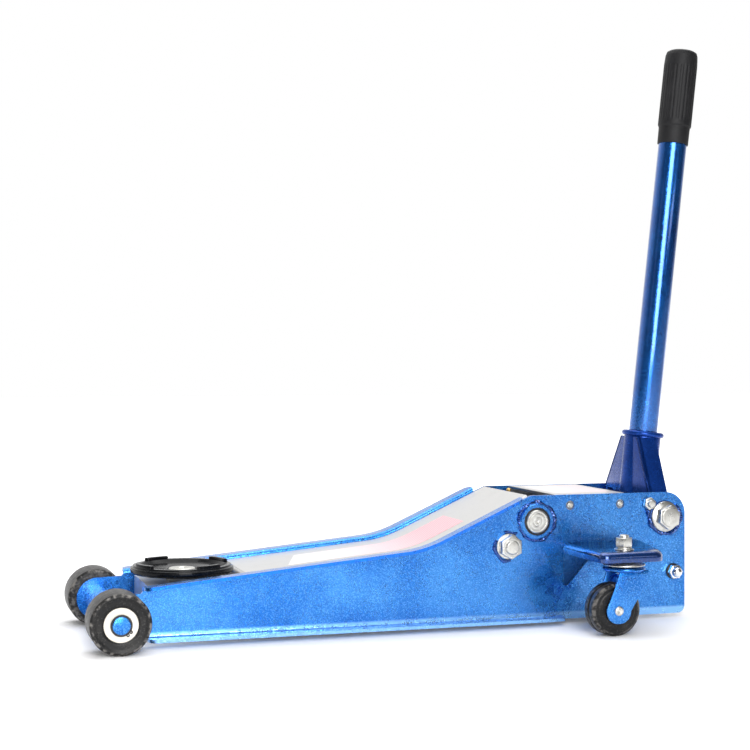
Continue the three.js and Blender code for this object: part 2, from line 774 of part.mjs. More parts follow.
function addRam() {
  const slotHalf = crank.pinRadius + 1;
  const slotTravel = 8;
  const headShape = outline([
    [ram.front, ram.z - 17, 6],
    [ram.barX - 2, ram.z - 17, 4],
    [ram.barX - 2, ram.z + 15, 4],
    [ram.front, ram.z + 15, 6],
  ]);
  const slot = outline([
    [crank.pinX - slotHalf, crank.pinZ - slotHalf - slotTravel, slotHalf - 0.1],
    [crank.pinX + slotHalf, crank.pinZ - slotHalf - slotTravel, slotHalf - 0.1],
    [crank.pinX + slotHalf, crank.pinZ + slotHalf + 0.6, slotHalf - 0.1],
    [crank.pinX - slotHalf, crank.pinZ + slotHalf + 0.6, slotHalf - 0.1],
  ]);
  headShape.holes.push(slot);
  const springHalf = 40;
  const bar = block(ram.barX, ram.barX + 8, -springHalf, springHalf, ram.z - 4.5, ram.z + 3.5);
  const rodBody = rodX(ram.radius, ram.barX - 5, ram.rear, 0, ram.z);
  add("ram", join(slabY(headShape, -ram.headHalf, ram.headHalf, 2), bar, rodBody), STEEL);
}

// Two springs beside the cylinder draw the ram back as the jack comes down.
function addReturnSprings() {
  const from = ram.barX + 8 + GAP;
  const to = unit.springStop - GAP;
  addPair("return_spring", coilSpring(from, to, unit.springY, ram.z, 5.2, 0.9, 7), STEEL);
}

function addPump() {
  const { y, z, radius, head, headX, depth, travel } = plunger;
  const neck = rodX(radius, unit.rear - depth + travel, headX - 3, y, z, 20);
  add("pump_plunger", join(neck, rodX(head, headX - 3.8, headX, y, z, 24)), STEEL);
  const spring = coilSpring(unit.rear + GAP, headX - 3.8 - GAP, y, z, 9.6, 1, 5);
  add("plunger_spring", spring, STEEL);
}

// The spindle that screws the release valve shut: it ends in a cup for the handle's ball.
function addReleaseSpindle() {
  const ball = 7.5;
  const profile = [
    [0, -valve.reach],
    [6, -valve.reach],
    [6, -16],
    [11, -11],
    [11, 0],
    [ball + 0.9, 0],
    [ball + 0.6, -3],
    [ball - 2.4, -6.6],
    [0, -8.6],
  ].map(([r, along]) => new THREE.Vector2(r, along));
  profile.push(profile[0].clone());
  const spindle = new THREE.LatheGeometry(profile, SIDES)
    .rotateZ(-valve.angle)
    .rotateX(Math.PI / 2)
    .translate(handlePivot.x, 0, handlePivot.z);
  add("release_spindle", solid(spindle), STEEL);
}

// ---- Handle: yoke, tube and grip, in a group that leans with the tube ----------------------
const handleGroup = new THREE.Group();
handleGroup.position.set(handlePivot.x, 0, handlePivot.z);
handleGroup.rotation.y = THREE.MathUtils.degToRad(handle.lean);
jack.add(handleGroup);

function yoke() {
  const bore = clear(handle.tubeRadius);
  const { radius, bottom, top, ringRadius, ringWire } = socket;
  const tube = turnedZ(
    [
      [bore, bottom],
      [radius, bottom],
      [radius, top],
      [bore, top],
    ],
    0,
    0,
    24,
  );
  const ring = new THREE.TorusGeometry(ringRadius, ringWire, 6, 24).translate(0, 0, top);
  const passage = rodZ(bore, bottom - 20, top + 20, 0, 0);

  // The front web and the two inclined cheeks behind its slanted edges.
  const trapezoid = new THREE.Shape();
  trapezoid.moveTo(-wing.halfWidth, wing.from);
  trapezoid.lineTo(wing.halfWidth, wing.from);
  trapezoid.lineTo(wing.topHalf, wing.to);
  trapezoid.lineTo(-wing.topHalf, wing.to);
  trapezoid.closePath();
  const frontWeb = sweepX(trapezoid, [
    [wing.front, 0],
    [wing.front + wing.thickness, 0],
  ]);
  const slant = (side) => {
    const shape = new THREE.Shape();
    shape.moveTo(side * wing.halfWidth, wing.from);
    shape.lineTo(side * (wing.halfWidth - 6), wing.from);
    shape.lineTo(side * (wing.topHalf - 6), wing.to);
    shape.lineTo(side * wing.topHalf, wing.to);
    shape.closePath();
    return sweepX(shape, [
      [wing.front, 0],
      [wing.front + wing.depth, 0],
    ]);
  };
  const foot = new THREE.Shape();
  foot.absarc(0, 0, handlePivot.eye, Math.PI * 0.86, Math.PI * 2.12, false);
  foot.lineTo(15, wing.from + 2);
  foot.lineTo(-13, wing.from + 2);
  foot.closePath();
  const outer = wing.halfWidth;
  const feet = [slabY(foot, outer - 6, outer), slabY(foot, -outer, 6 - outer)];

  // Two lugs under the tube carry the roller that pushes the pump plunger.
  const phase = THREE.MathUtils.degToRad(roller.phase + handle.lean);
  const hub = { x: roller.crank * Math.sin(phase), z: -roller.crank * Math.cos(phase) };
  const strap = link(hub, 7, { x: 2, z: 27 }, 8);
  const half = roller.width / 2 + GAP;
  const lugs = [half, -half - 4].map((from) => {
    return slabY(strap, plunger.y + from, plunger.y + from + 4, 5);
  });
  const pin = rodY(roller.pin, plunger.y - half - 1, plunger.y + half + 1, hub.x, hub.z, 16);
  const bridge = block(-16, 12, 14, 40, wing.from - 3, wing.from + 4);
  const web = join(frontWeb, slant(1), slant(-1), ...feet, ...lugs, bridge);
  const eyes = rodY(clear(handlePivot.radius), -80, 80, 0, 0);
  return join(cut(join(tube, solid(ring), web), passage, eyes), pin);
}

function addHandle() {
  add("handle_yoke", yoke(), NAVY, handleGroup);
  const { tubeRadius, wall, bottom, top, gripFrom, gripTo } = handle;
  const tube = turnedZ(
    [
      [tubeRadius - wall, bottom],
      [tubeRadius, bottom],
      [tubeRadius, top],
      [tubeRadius - wall, top],
    ],
    0,
    0,
    24,
  );
  // A plug in the tube's foot carries the ball that turns the release spindle.
  const plug = turnedZ(
    [
      [0, -6.9],
      [3.6, -5.9],
      [6.2, -3.4],
      [7.2, 0],
      [6.2, 3.4],
      [4.4, 5.6],
      [4.4, bottom + 4],
      [tubeRadius - wall + 0.5, bottom + 4],
      [tubeRadius - wall + 0.5, bottom + 10],
      [0, bottom + 10],
    ],
    0,
    0,
    24,
  );
  add("handle_tube", join(tube, plug), BLUE, handleGroup);

  const inner = clear(tubeRadius);
  const grip = turnedZ(
    [
      [inner, gripFrom],
      [inner + 1, gripFrom],
      [inner + 1.4, gripFrom + 22],
      [inner + 2.9, gripFrom + 26],
      [inner + 2.9, gripTo - 14],
      [inner + 2.2, gripTo - 6],
      [inner - 1, gripTo - 1.4],
      [inner - 6, gripTo],
      [0, gripTo],
      [0, top + GAP],
      [inner, top + GAP],
    ],
    0,
    0,
    24,
  );
  add("handle_grip", grip, BLACK, handleGroup);

  const phase = THREE.MathUtils.degToRad(roller.phase);
  const x = handlePivot.x + roller.crank * Math.sin(phase);
  const z = handlePivot.z - roller.crank * Math.cos(phase);
  const half = roller.width / 2;
  const ring = [
    [clear(roller.pin), plunger.y - half],
    [roller.radius, plunger.y - half],
    [roller.radius, plunger.y + half],
    [clear(roller.pin), plunger.y + half],
  ];
  add("pump_roller", turnedY(ring, x, z, 24), STEEL);
}

// ---- Rear casters on brackets outside the plates -------------------------------------------
function casterBracket() {
  const { front, top, skin, outer, rearAtPlate, lip, gussetFoot } = bracket;
  const from = plate.outside + GAP;
  const bend = 4;
  const plan = (inset) =>
    outline([
      [front + inset, from - 20],
      [rearAtPlate - inset, from - 20],
      [rearAtPlate - inset, from + 4],
      [690 - inset, outer - 14 - inset, 12],
      [680 - inset, outer - inset, 8],
      [front + inset, outer - inset, 10],
    ]);
  const options = { bevelThickness: bend, bevelSize: bend, bevelSegments: 2, curveSegments: 2 };
  const rounded = (inset, height, ceiling) => {
    const depth = height - 2 * bend;
    const geometry = new THREE.ExtrudeGeometry(plan(inset + bend), { depth, ...options });
    return solid(geometry.translate(0, 0, ceiling - height + bend));
  };
  const room = block(front - 50, rearAtPlate + 50, from, outer + 50, top - 40, top + 10);
  const shell = cut(rounded(0, 40, top), rounded(skin, 60, top - skin)).intersect(room);
  const lipOnly = join(
    block(front - 1, 800, from, outer + 10, top - skin - bend, top + 1),
    block(front - 1, 800, outer - 20, outer + 10, top - lip, top + 1),
    block(front - 1, front + bend + 1, from, outer + 10, top - lip, top + 1),
  );
  const brace = outline([
    [from, top - 3],
    [from, gussetFoot],
    [from + 6, gussetFoot],
    [150, top - lip - 1],
    [outer - 8, top - lip],
    [outer - 8, top - 3],
  ]);
  const gusset = sweepX(brace, [
    [front, 0],
    [front + skin, 0],
  ]);
  const hole = rodZ(clear(swivel.bolt), 0, 200, swivel.x, swivel.y);
  return cut(join(shell.intersect(lipOnly), gusset), hole);
}

function addCasters() {
  addPair("caster_bracket", casterBracket(), BLUE);
  const { x, y, bolt, race, crownTop, nutFlats } = swivel;
  const under = bracket.top - bracket.skin - GAP;
  const raceCup = [
    [clear(bolt), crownTop + 2.5],
    [race, crownTop + 2.5],
    [race, crownTop + 4.5],
    [race - 10, crownTop + 8],
    [race - 10, under],
    [clear(bolt), under],
  ];
  addPair("swivel_race", turnedZ(raceCup, x, y), STEEL);
  const stem = join(
    rodZ(bolt, crownTop - 5, bracket.top + 19, x, y, 20),
    rodZ(10, crownTop - 8, crownTop - 4 - GAP, x, y, 20),
  );
  addPair("swivel_bolt", stem, STEEL);
  const nutFrom = bracket.top + GAP;
  const nut = cut(
    join(
      rodZ(10.5, nutFrom, nutFrom + 3, x, y),
      hexZ(nutFlats, nutFrom + 2.8, nutFrom + 15, x, y),
    ),
    rodZ(clear(bolt), nutFrom - 1, nutFrom + 20, x, y),
  );
  addPair("swivel_nut", nut, STEEL);

  // The fork: a round crown over two legs that trail forward to the wheel.
  const { radius, width, legIn, leg, eye } = caster;
  const zWheel = radius;
  const legShape = new THREE.Shape();
  legShape.absarc(caster.x, zWheel, eye, Math.PI * 0.95, Math.PI * 1.87, false);
  legShape.lineTo(661, crownTop - 16);
  legShape.lineTo(662, crownTop - 2);
  legShape.lineTo(624, crownTop - 2);
  legShape.lineTo(620, crownTop - 18);
  legShape.closePath();
  legShape.holes.push(shaftHole(caster.x, zWheel, caster.axle));
  const legs = [slabY(legShape, y + legIn, y + legIn + leg), slabY(legShape, y - legIn - leg, y - legIn)];
  const crown = turnedZ(
    [
      [clear(bolt), crownTop - 4],
      [race - 2, crownTop - 4],
      [race, crownTop - 2],
      [race, crownTop],
      [race - 3, crownTop + 1],
      [clear(bolt), crownTop + 1],
    ],
    x,
    y,
  );
  addPair("caster_fork", join(crown, ...legs), BLUE);

  const half = width / 2;
  const bore = clear(caster.axle);
  const wheel = turnedY(
    [
      [bore, y - half],
      [radius - 2, y - half],
      [radius, y - half + 2],
      [radius, y - 3],
      [radius - 1.6, y],
      [radius, y + 3],
      [radius, y + half - 2],
      [radius - 2, y + half],
      [bore, y + half],
    ],
    caster.x,
    zWheel,
    24,
  );
  addPair("caster_wheel", wheel, RUBBER);
  const tip = legIn + leg + GAP;
  const rivet = turnedY(
    [
      [0, y - tip - 2],
      [5.8, y - tip - 2],
      [5.8, y - tip],
      [caster.axle, y - tip],
      [caster.axle, y + tip],
      [5.8, y + tip],
      [5.8, y + tip + 2],
      [0, y + tip + 2],
    ],
    caster.x,
    zWheel,
    14,
  );
  addPair("caster_axle", rivet, STEEL);
}

addFrame();
addRearCover();
addFrontWheels();
addArm();
addSaddleSeat();
addSaddle();
addRadiusRods();
addPowerUnit();
addRam();
addReturnSprings();
addPump();
addReleaseSpindle();
addHandle();
addCasters();

export default jack;
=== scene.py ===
# %% [markdown]
# # A hydraulic floor jack, dressed for the studio
#
# The jack arrives as a frame of plain, exact solids. This lesson gives it its finish: pressed
# plates keep their solids and get soft edges and metallic paint, while everything that came off
# a lathe, out of a press or out of a mould is modelled again with fine surfaces. Each cell adds
# one kind of piece, and says how the real one is made.

import json
import math

import bmesh
import bpy
from mathutils import Matrix, Vector, noise


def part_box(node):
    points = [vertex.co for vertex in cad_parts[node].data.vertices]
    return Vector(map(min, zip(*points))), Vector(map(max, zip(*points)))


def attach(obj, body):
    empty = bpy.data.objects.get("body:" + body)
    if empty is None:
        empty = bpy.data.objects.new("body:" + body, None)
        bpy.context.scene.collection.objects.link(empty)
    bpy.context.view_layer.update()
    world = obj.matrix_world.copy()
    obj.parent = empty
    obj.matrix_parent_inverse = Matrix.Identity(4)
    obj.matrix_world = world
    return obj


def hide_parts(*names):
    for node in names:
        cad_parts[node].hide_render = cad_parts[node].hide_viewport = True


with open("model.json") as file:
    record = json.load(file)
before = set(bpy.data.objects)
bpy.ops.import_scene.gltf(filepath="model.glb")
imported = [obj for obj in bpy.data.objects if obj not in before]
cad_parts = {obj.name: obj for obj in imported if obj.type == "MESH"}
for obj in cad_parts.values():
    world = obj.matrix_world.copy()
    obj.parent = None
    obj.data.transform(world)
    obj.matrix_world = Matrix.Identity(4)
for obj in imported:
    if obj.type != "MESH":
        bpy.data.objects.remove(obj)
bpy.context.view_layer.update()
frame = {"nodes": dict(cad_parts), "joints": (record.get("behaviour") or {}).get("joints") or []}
scene = bpy.context.scene
MM = 0.001

# %% [markdown]
# The joints say where every axle is, so they are the best landmarks. A node's box gives the
# rest: how wide a wheel is, how far a bolt stands out, how high the saddle reaches.

# %% Landmarks
joints = {joint["name"]: joint for joint in frame["joints"]}


def axle_of(joint_name):
    return Vector(joints[joint_name]["pos_m"])


ARM_PIVOT = axle_of("lift_arm")
ROD_ANCHOR = axle_of("radius_rods")
HANDLE_PIVOT = axle_of("handle_pump")
ROLLER = axle_of("roller_spin")
SIDES = {"left": -1, "right": 1}
X_AXIS, Y_AXIS, Z_AXIS = Vector((1, 0, 0)), Vector((0, 1, 0)), Vector((0, 0, 1))


def reach_of(node_name, axis="y"):
    """Where a node starts and ends along an axis, in millimetres."""
    return (getattr(corner, axis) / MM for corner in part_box(node_name))


LEAN = Vector(joints["handle_twist"]["axis"]).angle(Z_AXIS)
print("the handle leans", round(math.degrees(LEAN), 2), "degrees")

# %% [markdown]
# ## Camera and studio
#
# A long lens stands low and to the front left, so the side plate is seen almost square on and
# the two front wheels line up. The studio is a pale floor, a tall soft box in front, a broad one
# overhead and a white backdrop behind. Metallic paint shows what it mirrors, so the rest of the
# room is kept dark: that is what gives a round tube its deep edges and one bright streak.

# %% Camera
camera_data = bpy.data.cameras.new("camera")
camera_data.lens = 73.6
camera_data.sensor_width = 36
camera = bpy.data.objects.new("camera", camera_data)
camera.location = (-0.6247, -1.8666, 0.328)
camera.rotation_euler = (math.radians(89.66), 0, math.radians(-17.37))
scene.collection.objects.link(camera)
scene.camera = camera
print("camera stands", round((camera.location - ARM_PIVOT).length, 2), "m from the arm's pivot")

# %% Soft boxes and room
scene.view_settings.view_transform = "Standard"


def soft_box(name, place, target, width, height, radiance):
    """A rectangular light of a given brightness, whatever its size."""
    light = bpy.data.lights.new(name, "AREA")
    light.shape = "RECTANGLE"
    light.size, light.size_y = width, height
    light.energy = radiance * math.pi * width * height
    lamp = bpy.data.objects.new(name, light)
    lamp.location = place
    lamp.rotation_euler = (Vector(target) - Vector(place)).to_track_quat("-Z", "Y").to_euler()
    scene.collection.objects.link(lamp)


soft_box("front_box", (-0.4, -2.7, 1.2), (-0.2, 0.0, 0.15), 1.35, 2.1, 9.6)
soft_box("low_strip", (1.5, -2.4, 0.95), (0.25, 0.0, 0.1), 0.8, 0.25, 3.2)
soft_box("left_box", (-2.6, -1.2, 1.2), (-0.4, 0.0, 0.05), 0.6, 1.2, 0.35)
soft_box("top_box", (0.1, 0.3, 2.5), (0.0, 0.0, 0.0), 2.6, 2.4, 2.8)

world = bpy.data.worlds.new("studio_room")
world.use_nodes = True
scene.world = world
room = world.node_tree
room.nodes.clear()
towards = room.nodes.new("ShaderNodeTexCoord")
apart = room.nodes.new("ShaderNodeSeparateXYZ")
backdrop = room.nodes.new("ShaderNodeMapRange")
backdrop.inputs["From Min"].default_value = -0.1
backdrop.inputs["From Max"].default_value = 0.75
backdrop.inputs["To Min"].default_value = 0.1
backdrop.inputs["To Max"].default_value = 1.3
room_dim = room.nodes.new("ShaderNodeBackground")
room_white = room.nodes.new("ShaderNodeBackground")
room_white.inputs["Color"].default_value = (1, 1, 1, 1)
room_mix = room.nodes.new("ShaderNodeMixShader")
room_path = room.nodes.new("ShaderNodeLightPath")
room_out = room.nodes.new("ShaderNodeOutputWorld")
room.links.new(towards.outputs["Generated"], apart.inputs["Vector"])
room.links.new(apart.outputs["Y"], backdrop.inputs["Value"])
room.links.new(backdrop.outputs["Result"], room_dim.inputs["Strength"])
room.links.new(room_path.outputs["Is Camera Ray"], room_mix.inputs["Fac"])
room.links.new(room_dim.outputs["Background"], room_mix.inputs[1])
room.links.new(room_white.outputs["Background"], room_mix.inputs[2])
room.links.new(room_mix.outputs["Shader"], room_out.inputs["Surface"])

# %% [markdown]
# ## Shape helpers
#
# Most of the jack is either turned or cut from plate. A turned piece starts as half of its
# section, a flat face whose corners are rounded, and a spin carries it round the axle. A plate
# piece starts as its outline and is extruded. Both end as a mesh that sits at the origin and
# rides on one of the jack's bodies.


# %% Finishing a mesh
def keep_piece(name, bm, body, finish, stands_for=(), crease=32):
    """Turns a bmesh into a piece of the jack that moves with a body."""
    mesh = bpy.data.meshes.new(name)
    bm.to_mesh(mesh)
    bm.free()
    mesh.materials.append(finish)
    mesh.shade_smooth()
    mesh.set_sharp_from_angle(angle=math.radians(crease))
    piece = bpy.data.objects.new(name, mesh)
    scene.collection.objects.link(piece)
    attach(piece, body)
    if stands_for:
        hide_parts(*stands_for)
    return piece


def tidy(bm):
    bmesh.ops.remove_doubles(bm, verts=bm.verts[:], dist=2e-6)
    bmesh.ops.recalc_face_normals(bm, faces=bm.faces[:])
    return bm


# %% Turned pieces
def turn(section, centre, axis=Y_AXIS, rounding=0.3, steps=72, into=None):
    """Spins a closed half section of (radius, along) millimetres round an axle."""
    bm = bmesh.new()
    outward = X_AXIS if axis is not X_AXIS else Z_AXIS
    spots = [centre + outward * r * MM + axis * along * MM for r, along in section]
    corners = [bm.verts.new(spot) for spot in spots]
    bm.faces.new(corners)
    off_axis = [v for v, (r, _) in zip(corners, section) if r > 0.01]
    if rounding:
        bevel(bm, off_axis, rounding * MM, 3, "VERTICES")
    bmesh.ops.delete(bm, geom=bm.faces[:], context="FACES_ONLY")
    on_axis = [e for e in bm.edges if all(lies_on(v.co, centre, axis) for v in e.verts)]
    bmesh.ops.delete(bm, geom=on_axis, context="EDGES")
    spin_round(bm, centre, axis, 2 * math.pi, steps, True)
    tidy(bm)
    return merge_into(into, bm)


def bevel(bm, geometry, width, segments, affect):
    shared = {"offset_type": "OFFSET", "profile": 0.5, "clamp_overlap": True, "material": -1}
    bmesh.ops.bevel(bm, geom=geometry, offset=width, segments=segments, affect=affect, **shared)


def lies_on(point, centre, axis):
    return (point - centre).cross(axis).length < 1e-6


def spin_round(bm, centre, axis, angle, steps, full):
    section = bm.verts[:] + bm.edges[:] + bm.faces[:]
    sweep = {"cent": centre, "axis": axis, "angle": angle, "steps": steps}
    bmesh.ops.spin(bm, geom=section, use_merge=full, use_duplicate=False, **sweep)


def merge_into(target, bm):
    """Adds one bmesh to another, so that a piece can be built of several solids."""
    if target is None:
        return bm
    carrier = bpy.data.meshes.new("carrier")
    bm.to_mesh(carrier)
    bm.free()
    target.from_mesh(carrier)
    bpy.data.meshes.remove(carrier)
    return target


# %% Plate pieces
def slab(outline, start, end, plane="XZ", edge=0.5, rounded=(), into=None):
    """Thickens an outline of millimetre points between two places along its third axis.
    rounded lists (corner number, radius) pairs that become arcs first."""
    bm = bmesh.new()
    place = {
        "XZ": lambda a, b, c: Vector((a, c, b)),
        "XY": lambda a, b, c: Vector((a, b, c)),
        "YZ": lambda a, b, c: Vector((c, a, b)),
    }[plane]
    corners = [bm.verts.new(place(a, b, start) * MM) for a, b in outline]
    bm.faces.new(corners)
    for number, radius in rounded:
        bevel(bm, [corners[number]], radius * MM, 10, "VERTICES")
    lifted = bmesh.ops.extrude_face_region(bm, geom=bm.faces[:], use_keep_orig=True)
    moved = [v for v in lifted["geom"] if isinstance(v, bmesh.types.BMVert)]
    bmesh.ops.translate(bm, verts=moved, vec=place(0, 0, end - start) * MM)
    tidy(bm)
    soften(bm, edge)
    return merge_into(into, bm)


def soften(bm, width, angle=35, segments=2):
    """Rounds every edge sharper than the angle, as paint and deburring do."""
    if not width:
        return
    sharp = [e for e in bm.edges if e.is_manifold and e.calc_face_angle() > math.radians(angle)]
    bevel(bm, sharp, width * MM, segments, "EDGES")


def hexagon(flats, start, end, centre, axis, turn_by=0.0, into=None):
    """A chamfered hexagon head, given in millimetres along its axle."""
    bm = bmesh.new()
    across_corners = flats / math.sqrt(3)
    bmesh.ops.create_cone(
        bm,
        segments=6,
        radius1=across_corners * MM,
        radius2=across_corners * MM,
        depth=(end - start) * MM,
        cap_ends=True,
    )
    bmesh.ops.rotate(bm, cent=(0, 0, 0), matrix=Matrix.Rotation(turn_by, 3, "Z"), verts=bm.verts[:])
    soften(bm, 1.1, angle=70, segments=3)
    to_axis = Z_AXIS.rotation_difference(axis).to_matrix()
    bmesh.ops.rotate(bm, cent=(0, 0, 0), matrix=to_axis, verts=bm.verts[:])
    shift = centre + axis * (start + end) / 2 * MM
    bmesh.ops.translate(bm, verts=bm.verts[:], vec=shift)
    return merge_into(into, bm)


def bead(centre, axis, radius, wire, start=0.0, sweep=2 * math.pi, seed=0.0, into=None):
    """A weld bead: a ring or part of a ring whose surface is rippled and lumpy."""
    bm = bmesh.new()
    out = axis.orthogonal().normalized()
    out = Matrix.Rotation(start, 3, axis) @ out
    bmesh.ops.create_circle(bm, segments=10, radius=wire * MM, cap_ends=False)
    lay = Matrix((out, axis, out.cross(axis))).transposed().to_4x4()
    bmesh.ops.transform(bm, matrix=lay, verts=bm.verts[:])
    bmesh.ops.translate(bm, verts=bm.verts[:], vec=centre + out * radius * MM)
    full = sweep > 6.28
    steps = int(sweep * radius / 1.1)
    spin_round(bm, centre, axis, sweep, steps, full)
    if not full:
        bmesh.ops.holes_fill(bm, edges=bm.edges[:], sides=0)
    tidy(bm)
    for vert in bm.verts:
        spoke = vert.co - centre
        core = spoke - axis * spoke.dot(axis)
        core = centre + core.normalized() * radius * MM
        wander = noise.noise(core * 75 + Vector((seed, seed, 0)))
        lump = noise.noise(vert.co * 160 + Vector((seed, 0, seed))) * 0.5
        ripple = 0.12 * math.sin(core.x * 2400 + core.z * 2400 + 2.5 * noise.noise(core * 90))
        swell = 1 + lump + ripple + 0.35 * wander
        vert.co = core + (vert.co - core) * swell + (core - centre) / radius * 2.6 * wander
    return merge_into(into, bm)


def on_side(way, bm):
    """A right-hand shape stays as it is; for the left side it is mirrored."""
    if way < 0:
        bmesh.ops.scale(bm, vec=(1, -1, 1), verts=bm.verts[:])
        bmesh.ops.recalc_face_normals(bm, faces=bm.faces[:])
    return bm


# %% [markdown]
# ## Shader groups
#
# Several finishes share the same effects. Metallic paint needs flakes: tiny cells that each
# lean their own way and catch the light on their own. Bare and plated steel gets a fine tooled
# grain and a few stains, and everything needs dust and handling marks. Each effect
# is one node group, used in several materials with different values.


# %% Node helpers
def feed(tree, socket, value):
    """Links another node's socket, or sets a plain value."""
    if isinstance(value, bpy.types.NodeSocket):
        tree.links.new(value, socket)
    else:
        socket.default_value = value


def put(tree, kind, sockets=None, **settings):
    """Adds a node, sets its settings and feeds its sockets."""
    made = tree.nodes.new(kind)
    for key, value in settings.items():
        setattr(made, key, value)
    for key, value in (sockets or {}).items():
        feed(tree, made.inputs[key], value)
    return made


COLOR, FLOAT, VECTOR = "NodeSocketColor", "NodeSocketFloat", "NodeSocketVector"
SURFACE = {"Color": COLOR, "Roughness": FLOAT, "Normal": VECTOR}


def new_group(name, inputs):
    group = bpy.data.node_groups.new(name, "ShaderNodeTree")
    for label, kind, value in inputs:
        socket = group.interface.new_socket(label, in_out="INPUT", socket_type=kind)
        socket.default_value = value
    for label, kind in SURFACE.items():
        group.interface.new_socket(label, in_out="OUTPUT", socket_type=kind)
    return group, group.nodes.new("NodeGroupInput").outputs


def give_surface(group, *values):
    """Ends a group with the three values that a finish takes from it."""
    out = group.nodes.new("NodeGroupOutput")
    for label, value in zip(SURFACE, values):
        group.links.new(value, out.inputs[label])
    return group


def math_node(tree, operation, first, second=0.0, third=0.0, clamp=False):
    made = put(tree, "ShaderNodeMath", operation=operation, use_clamp=clamp)
    for socket, value in zip(made.inputs, (first, second, third)):
        feed(tree, socket, value)
    return made.outputs["Value"]


def blend_colors(tree, factor, first, second):
    sockets = {0: factor, 6: first, 7: second}
    return put(tree, "ShaderNodeMix", sockets, data_type="RGBA").outputs[2]


def spread(tree, value, low, high, to_low=0.0, to_high=1.0):
    """Maps a range of values to another, with smooth ends."""
    limits = {"Value": value, "From Min": low, "From Max": high, "To Min": to_low, "To Max": to_high}
    made = put(tree, "ShaderNodeMapRange", limits, interpolation_type="SMOOTHSTEP")
    return made.outputs["Result"]


# %% Metal flake
def make_flake_group():
    inputs = [
        ("Deep", COLOR, (0.02, 0.2, 0.7, 1)), ("Bright", COLOR, (0.2, 0.6, 1, 1)),
        ("Density", FLOAT, 1100.0), ("Tilt", FLOAT, 0.25), ("Gloss", FLOAT, 0.3),
    ]
    group, given = new_group("metal_flake", inputs)
    place = put(group, "ShaderNodeTexCoord").outputs["Object"]
    cells = put(group, "ShaderNodeTexVoronoi", {"Vector": place, "Scale": given["Density"]})
    random = put(group, "ShaderNodeSeparateColor", {"Color": cells.outputs["Color"]})
    sparkle = spread(group, random.outputs["Red"], 0.55, 1.0)
    cloud = put(group, "ShaderNodeTexNoise", {"Vector": place, "Scale": 14.0, "Detail": 3.0})
    streak = put(group, "ShaderNodeTexNoise", {"Vector": place, "Scale": 90.0, "Detail": 4.0})
    cloudy = spread(group, cloud.outputs["Fac"], 0.3, 0.7, 0.0, 0.3)
    amount = math_node(group, "MULTIPLY_ADD", sparkle, 0.55, cloudy)
    color = blend_colors(group, amount, given["Deep"], given["Bright"])
    centred = put(group, "ShaderNodeVectorMath", {0: cells.outputs["Color"], 1: (0.5, 0.5, 0.5)})
    centred.operation = "SUBTRACT"
    tilt = put(group, "ShaderNodeVectorMath", {0: centred.outputs[0]}, operation="SCALE")
    group.links.new(given["Tilt"], tilt.inputs["Scale"])
    facing = put(group, "ShaderNodeNewGeometry").outputs["Normal"]
    leaning = put(group, "ShaderNodeVectorMath", {0: facing, 1: tilt.outputs[0]}, operation="ADD")
    unit = put(group, "ShaderNodeVectorMath", {0: leaning.outputs[0]}, operation="NORMALIZE")
    peel = put(
        group,
        "ShaderNodeBump",
        {"Height": streak.outputs["Fac"], "Normal": unit.outputs[0], "Strength": 0.08},
    )
    peel.inputs["Distance"].default_value = 0.0006
    rough = spread(group, streak.outputs["Fac"], 0.3, 0.75, 0.0, 0.1)
    return give_surface(group, color, math_node(group, "ADD", rough, given["Gloss"]), peel.outputs["Normal"])


FLAKE = make_flake_group()


# %% Tool marks
def make_tool_mark_group():
    inputs = [
        ("Tone", COLOR, (0.7, 0.69, 0.66, 1)), ("Stain", COLOR, (0.32, 0.29, 0.24, 1)),
        ("Stain Amount", FLOAT, 0.35), ("Gloss", FLOAT, 0.28), ("Fineness", FLOAT, 900.0),
    ]
    group, given = new_group("tool_marks", inputs)
    place = put(group, "ShaderNodeTexCoord").outputs["Object"]
    fine = put(group, "ShaderNodeTexNoise", {"Vector": place, "Scale": given["Fineness"], "Detail": 2.0})
    blotch = put(group, "ShaderNodeTexNoise", {"Vector": place, "Scale": 130.0, "Detail": 5.0})
    stained = spread(group, blotch.outputs["Fac"], 0.48, 0.74)
    stained = math_node(group, "MULTIPLY", stained, given["Stain Amount"])
    color = blend_colors(group, stained, given["Tone"], given["Stain"])
    rough = math_node(group, "MULTIPLY_ADD", blotch.outputs["Fac"], 0.28, given["Gloss"])
    bump = put(group, "ShaderNodeBump", {"Height": fine.outputs["Fac"], "Strength": 0.25})
    bump.inputs["Distance"].default_value = 0.0002
    return give_surface(group, color, rough, bump.outputs["Normal"])


TOOL_MARKS = make_tool_mark_group()


